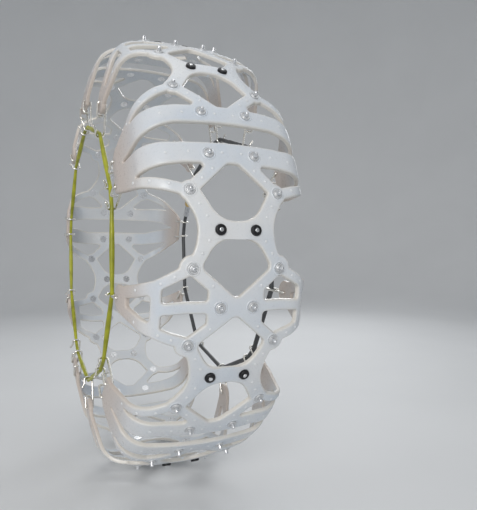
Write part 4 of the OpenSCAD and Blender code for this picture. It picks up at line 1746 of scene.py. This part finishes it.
@dataclass(frozen=True)
class HookLine:
    """Places of the hooks round the axis, and of the loop that they pull on."""

    env: Envelope = Envelope()
    wing_middles: tuple[float, ...] = WingMoulding.middles
    fan_middles: tuple[float, ...] = FanMoulding.middles
    fan_hook_a: float = FanMoulding.hook_a
    drop: float = 41.5
    turn: float = -4.07
    bend: float = 6.0
    loop_r: float = 3.5

    @cached_property
    def angles(self) -> list[float]:
        """Angles of the hooks, before the creep of the lugs."""
        return [a for w, f in zip(self.wing_middles, self.fan_middles)
                for a in (w, f - self.fan_hook_a, f + self.fan_hook_a)]

    @cached_property
    def hole_r(self) -> float:
        """Radius of the circle of hook holes."""
        return float(self.env.section(self.env.hole_v)[0])

    @cached_property
    def mid_y(self) -> float:
        """Distance of the middle of the lugs from the middle plane."""
        return float(self.env.section(self.env.hole_v)[1]) - self.env.net_t / 2

    @cached_property
    def corners(self) -> list[Array]:
        """Corners of the loop, in a plane across the axis.

        Each lies past the hook's own radius by what the bend cuts off there.

        Returns:
            The corners, in the order of the hooks.
        """
        count, out = len(self.angles), []
        for i, a in enumerate(self.angles):
            turn = (self.angles[(i + 1) % count] - self.angles[i - 1]) % 360 / 2
            cut = self.bend * (1 / math.cos(math.radians(turn / 2)) - 1)
            out.append((self.hole_r - self.drop + cut) * heading(math.radians(a + self.turn)))
        return out

    def in_frame(self, p: Array, y: float | Array) -> Array:
        """Points of a plane across the axis, at y towards the outer side, in metres."""
        return np.stack([p[:, 0], np.broadcast_to(-y, len(p)), p[:, 1]], -1) * MM


@dataclass(frozen=True)
class HookSet:
    """Wire hooks on one side: an eye through the lug hole and round the lug, and a bend below.

    The wire follows a path in a plane through the hook, from the eye's end to the flared free tip.
    The bend holds the loop.
    """

    side: Side
    line: HookLine
    wire_r: float = 1.6
    eye_bend: float = 3.0
    hole_bend: float = 2.4
    eye_gap: float = 0.8
    eye_slack: float = 1.5
    side_gap: float = 0.9
    seat_gap: float = 0.3
    bend_flat: float = 1.2
    tip_len: float = 7.0
    tip_flare: float = 4.0
    lug_r: float = WingMoulding.lug_r
    arc_steps: int = 7
    run: float = 6.0
    sides: int = 16
    dome: float = 0.6

    def path(self) -> tuple[Array, float]:
        """Rounded path of the wire, and the angle by which a hook leans round the axis.

        Returns:
            Points along the hook and outboard of it, and the lean in radians.
        """
        ln, w = self.line, self.wire_r
        reach = (ln.hole_r - ln.drop) * heading(math.radians(ln.turn - ln.env.lug_turn))
        reach -= (ln.hole_r, 0)
        lean = math.atan2(reach[1], reach[0])
        b = ln.loop_r + self.side_gap + w
        slant = math.radians((ln.angles[1] - ln.angles[0]) / 2) + math.pi - abs(lean)
        t = float(np.linalg.norm(reach)) - b + (ln.loop_r + self.seat_gap + w) / math.cos(slant)
        leg = ln.env.net_t / 2 + self.eye_gap + w
        eye, tip, turn = self.lug_r + self.eye_slack + w, t - 2 * w, b - self.bend_flat / 2
        stops = [(eye, w + self.eye_slack / 2 - leg, 0), (eye, leg, self.eye_bend),
                 (0, leg, self.hole_bend), (0, -leg, self.hole_bend), (t + b, -b, turn),
                 (t + b, b, turn), (tip, b, turn), (tip - self.tip_len, b + self.tip_flare, 0)]
        path = rounded([np.array(s[:2], float) for s in stops], [s[2] for s in stops],
                       self.arc_steps, closed=False)
        return dense(path, self.run, closed=False), lean

    def build(self, finish: Finish) -> None:
        """Make the hooks, one piece for each body.

        Args:
            finish: Finish of the wire.
        """
        path, lean = self.path()
        ln, name = self.line, self.side.name.lower()
        radius = np.full(len(path), self.wire_r * MM)
        for i, a in enumerate(ln.angles, 1):
            way = math.radians(a + ln.env.lug_turn)
            flat = ln.hole_r * heading(way) + path[:, :1] * heading(way + lean)
            pts = ln.in_frame(flat, self.side.value * (ln.mid_y + path[:, 1]))
            normal = np.array([-math.sin(way + lean), 0, math.cos(way + lean)])
            wire = Tube(pts, normal, radius, sides=self.sides, dome=self.dome).shell()
            body = f"{name}_hook_{i}"
            dress(wire.to_object(f"{name}_wire_{i}"), finish, body, "hook_wire", body)


@dataclass(frozen=True)
class TensionRing:
    """Elastic ring in the outer hooks, drawn straight between them and thinner towards them.

    At a distance e from the nearest hook it is thinner, by a share that falls as exp(-e squared).
    """

    line: HookLine
    thin: float = 0.28
    thin_reach: float = 34.0
    run: float = 4.0
    sides: int = 24

    def build(self, finish: Finish) -> None:
        """Make the ring.

        Args:
            finish: Finish of the ring.
        """
        ln = self.line
        corners = [p - unit(p) * self.thin * ln.loop_r for p in ln.corners]
        flat = dense(rounded(corners, ln.bend), self.run)
        near = np.linalg.norm(flat[:, None] - np.array(corners), axis=-1).min(1)
        radius = ln.loop_r * MM * (1 - self.thin * np.exp(-(near / self.thin_reach) ** 2))
        path = ln.in_frame(flat, ln.mid_y)
        ring = Tube(path, AXIS, radius, closed=True, sides=self.sides).shell()
        dress(ring.to_object("elastic_loop"), finish, "tension_ring", "ring_rubber", "tension_ring")


@dataclass(frozen=True)
class InnerCable:
    """Coated cable on the inner side, with crimped ferrules and a hexagonal sleeve as its lock."""

    line: HookLine
    lock_hook: int = 6
    run: float = 5.0
    fit: float = 0.15
    sleeve_af: float = 13.0
    sleeve_len: float = 30.0
    sleeve_gap: float = 0.3
    sleeve_ends: Triple = (0.0, 0.5, 1.1)
    cone_in: float = 0.35
    cone_rate: float = 1.2
    sleeve_sides: int = 72
    sleeve_sharp: float = 25.0
    ferrule_r: float = 5.0
    ferrule_len: float = 24.0
    ferrule_land: float = 6.0
    ferrule_cuts: Pair = (0.4, 0.5)
    bore_cone: float = 0.1
    crimps: Pair = (8.0, 15.0)
    crimp_len: float = 5.0
    crimp_depth: float = 0.6
    crimp_rows: int = 9
    ferrule_sides: int = 28
    ferrule_sharp: float = 40.0
    spigot_r: float = 3.0
    spigot_len: float = 12.0
    spigot_nose: Triple = (0.5, 0.1, 0.4)
    thread_ends: Pair = (0.8, 0.9)
    thread_pitch: float = 0.5
    thread_depth: float = 0.3

    @cached_property
    def near(self) -> float:
        """Distance from the middle of the lock to the ferrules."""
        return self.sleeve_len / 2 + self.sleeve_gap

    @cached_property
    def lock_run(self) -> tuple[Array, Array]:
        """Middle of the lock and the way along it, in a plane across the axis."""
        a, b = self.line.corners[self.lock_hook:self.lock_hook + 2]
        return (a + b) / 2, unit(b - a)

    def lock(self, sign: int) -> Spots:
        """Middle of the lock, with z along the cable towards one of its ends.

        Args:
            sign: One for the end past the lock, minus one for the end before it.

        Returns:
            One place, in metres.
        """
        mid, way = self.lock_run
        z = np.array([way[0] * sign, 0.0, way[1] * sign])
        origin = self.line.in_frame(mid[None], -self.line.mid_y)
        return Spots(origin, AXIS[None], np.cross(z, AXIS)[None], z[None])

    def cable(self, finish: Finish) -> None:
        """Make the cable, from one ferrule all the way round to the other.

        Args:
            finish: Finish of the jacket.
        """
        ln, (mid, way) = self.line, self.lock_run
        first = self.lock_hook + 1
        end = way * (self.near + self.ferrule_land + self.fit)
        points = [mid + end, *ln.corners[first:], *ln.corners[:first], mid - end]
        flat = dense(rounded(points, ln.bend, closed=False), self.run, closed=False)
        cable = Tube(ln.in_frame(flat, -ln.mid_y), AXIS, np.full(len(flat), ln.loop_r * MM)).shell()
        dress(cable.to_object("coated_cable"), finish, "inner_cable", "cable_jacket", "inner_cable")

    def ferrules(self, finish: Finish) -> None:
        """Make the ferrules: a threaded spigot, a shoulder, two crimped waists and a bore.

        A waist is shallower than the ferrule by the squared sine of the way along it.

        Args:
            finish: Finish of the ferrules.
        """
        near, r, s = self.near, self.ferrule_r, self.spigot_r
        start, end = near - self.spigot_len, near + self.ferrule_len
        bore, land = self.line.loop_r + self.fit, near + self.ferrule_land
        low_cut, high_cut = self.ferrule_cuts
        turns = np.arange(self.thread_ends[0], self.spigot_len - self.thread_ends[1],
                          self.thread_pitch)
        thread = [(s - self.thread_depth * (i % 2), start + t) for i, t in enumerate(turns)]
        crimps = [(r - self.crimp_depth * math.sin(math.pi * t) ** 2,
                   near + (c + self.crimp_len * t))
                  for c in self.crimps for t in np.linspace(0, 1, self.crimp_rows)]
        nose, shoulder, rise = self.spigot_nose
        profile = np.array([
            (0, start), (s - nose, start), (s - shoulder, start + rise), *thread, (s, near),
            (r - low_cut, near), (r, near + low_cut), *crimps, (r, end - high_cut),
            (r - high_cut, end), (bore, end), (bore, land + self.bore_cone), (0, land)], float)
        for sign, name in ((1, "a"), (-1, "b")):
            shell = Shell()
            self.lock(sign).stand(shell, profile[:, 0], profile[:, 1], self.ferrule_sides)
            obj = shell.to_object(f"crimped_end_{name}", self.ferrule_sharp)
            dress(obj, finish, "inner_cable", "ferrule_steel", f"cable_ferrule_{name}")

    def sleeve(self, finish: Finish) -> None:
        """Make the sleeve: a hexagon's radius, cut back by a cone towards both ends, with a bore.

        At an angle a from the middle of a flat, the hexagon's radius is half its width over cos(a).

        Args:
            finish: Finish of the sleeve.
        """
        half, flat, sides = self.sleeve_len / 2, self.sleeve_af / 2, self.sleeve_sides
        a = np.arange(sides) * 2 * math.pi / sides
        hexagon = flat / np.cos((a + math.pi / 6) % (math.pi / 3) - math.pi / 6)
        ends = half - np.array(self.sleeve_ends)
        h = np.concatenate([-ends, ends[::-1]])
        cone = flat - self.cone_in + (half - np.abs(h)) * self.cone_rate
        bore = np.full((2, sides), self.spigot_r + self.fit)
        r = np.concatenate([np.minimum(hexagon, cone[:, None]), bore])
        shell = Shell()
        self.lock(1).stand(shell, r, np.concatenate([h, [half, -half]]), sides, ring=True)
        obj = shell.to_object("hexagonal_sleeve", self.sleeve_sharp)
        dress(obj, finish, "cable_lock_sleeve", "sleeve_brass", "cable_lock_sleeve")

    def build(self, finishes: Finishes) -> None:
        """Make the cable, the ferrules and the sleeve.

        Args:
            finishes: Every finish of the net.
        """
        self.cable(finishes.jacket)
        self.ferrules(finishes.ferrule)
        self.sleeve(finishes.brass)


# Studio, in metres


def aimed(place: Triple, way: Vector) -> Matrix:
    """Matrix of a lamp or camera at a place that looks along a way."""
    return Matrix.Translation(place) @ way.to_track_quat("-Z", "Y").to_matrix().to_4x4()


@dataclass(frozen=True)
class Lamp:
    """Square soft light, aimed at a point, that shines within its spread."""

    name: str
    place: Triple
    size: float
    power: float
    aim: Triple = (0.0, 0.0, 0.0)
    colour: Triple = (1.0, 1.0, 1.0)
    spread: float = 180.0

    def build(self) -> None:
        """Make the light."""
        data = bpy.data.lights.new(self.name, "AREA")
        data.spread = math.radians(self.spread)
        data.shape, data.size = "SQUARE", self.size
        data.energy, data.color = self.power, self.colour
        obj = bpy.data.objects.new(self.name, data)
        obj.matrix_world = aimed(self.place, Vector(self.aim) - Vector(self.place))
        bpy.context.scene.collection.objects.link(obj)


@dataclass(frozen=True)
class Backdrop:
    """Pale studio floor that runs up into a wall on all sides."""

    name: str = "studio_cove"
    floor_z: float = -0.3368
    rings: Pair = (0.6, 1.5)
    flat_r: float = 2.4
    rise_r: float = 1.4
    rise_rows: int = 17
    wall_h: float = 2.6
    sides: int = 96
    colour: Triple = (0.68, 0.69, 0.70)
    darker: float = 0.97
    mottle: Pair = (3, 2)
    rough: float = 0.7

    def build(self) -> None:
        """Make the cove: a flat disc, a quarter circle up and a wall, turned about the upright."""
        t = np.linspace(0, math.pi / 2, self.rise_rows)
        out = self.flat_r + self.rise_r
        r = np.concatenate([self.rings, self.flat_r + self.rise_r * np.sin(t), [out]])
        rise = self.rise_r * (1 - np.cos(t))
        z = np.concatenate([np.zeros(len(self.rings)), rise, [self.wall_h]]) + self.floor_z
        verts, j = turned(r, z, self.sides), np.arange(self.sides)
        hub = np.stack([np.full(self.sides, len(verts)), j, (j + 1) % self.sides], -1)
        shell = Shell()
        shell.add(np.concatenate([verts, [[0, 0, self.floor_z]]]),
                  [grid_quads(len(r), self.sides, False, True)[:, ::-1], hub])
        obj = shell.to_object(self.name)
        s = Shade(self.name)
        tone = tuple(self.darker * c for c in self.colour)
        colour = s.blend(s.spread(s.noise(*self.mottle), 0, 1), self.colour, tone)
        obj.data.materials.append(s.done({"Base Color": colour, "Roughness": self.rough}))


@dataclass(frozen=True)
class Studio:
    """Camera at the angle of the photo, soft lights and the backdrop."""

    eye: Triple = (0.877, -0.252, -0.004)
    way: Triple = (-0.9089, 0.4171, 0.0015)
    lens: float = 38.01
    sensor: float = 36.0
    sky: Triple = (0.94, 0.97, 1.0)
    sky_power: float = 0.45
    backdrop: Backdrop = Backdrop()
    lamps: tuple[Lamp, ...] = (
        Lamp("key", (2.6, -1.4, 0.9), size=1.4, power=11.0, aim=(0.1, -0.05, 0.05),
             colour=(1.0, 0.98, 0.96), spread=80.0),
        Lamp("side", (-0.4, -2.4, 0.6), size=1.4, power=5.0, colour=(1.0, 0.93, 0.86)),
        Lamp("top", (-0.3, 0.3, 2.6), size=2.0, power=12.0, aim=(-0.3, 0.3, 0.0)),
        Lamp("back", (-2.4, 1.6, 1.1), size=1.6, power=9.0, colour=(0.96, 0.98, 1.0), spread=90.0),
    )

    def build(self) -> None:
        """Make the camera, the lights and the backdrop."""
        scene = bpy.context.scene
        cam = bpy.data.objects.new("camera", bpy.data.cameras.new("camera"))
        cam.data.lens, cam.data.sensor_width = self.lens, self.sensor
        cam.matrix_world = aimed(self.eye, Vector(self.way))
        scene.collection.objects.link(cam)
        scene.camera = cam
        world = bpy.data.worlds.new("soft_sky")
        world.use_nodes = True
        back = world.node_tree.nodes["Background"]
        back.inputs["Color"].default_value = (*self.sky, 1.0)
        back.inputs["Strength"].default_value = self.sky_power
        scene.world = world
        scene.view_settings.view_transform = "Standard"
        for lamp in self.lamps:
            lamp.build()
        self.backdrop.build()
        LOG.info("studio with %d lamps", len(self.lamps))


def main() -> None:
    """Build every piece in order."""
    logging.basicConfig(level=logging.INFO, format="%(message)s")
    finishes = Finishes()
    wing, fan, line = WingMoulding(), FanMoulding(), HookLine()
    for mould in (wing, fan):
        mould.build(finishes.urethane, finishes.pip)
        StudSet(mould).build(finishes.stud, finishes.collar)
    BarFastenings(wing).build(finishes.screw, finishes.nut)
    TensionRing(line).build(finishes.ring)
    InnerCable(line).build(finishes)
    for side in Side:
        HookSet(side, line).build(finishes.hook)
    Studio().build()


if __name__ == "__main__":
    main()
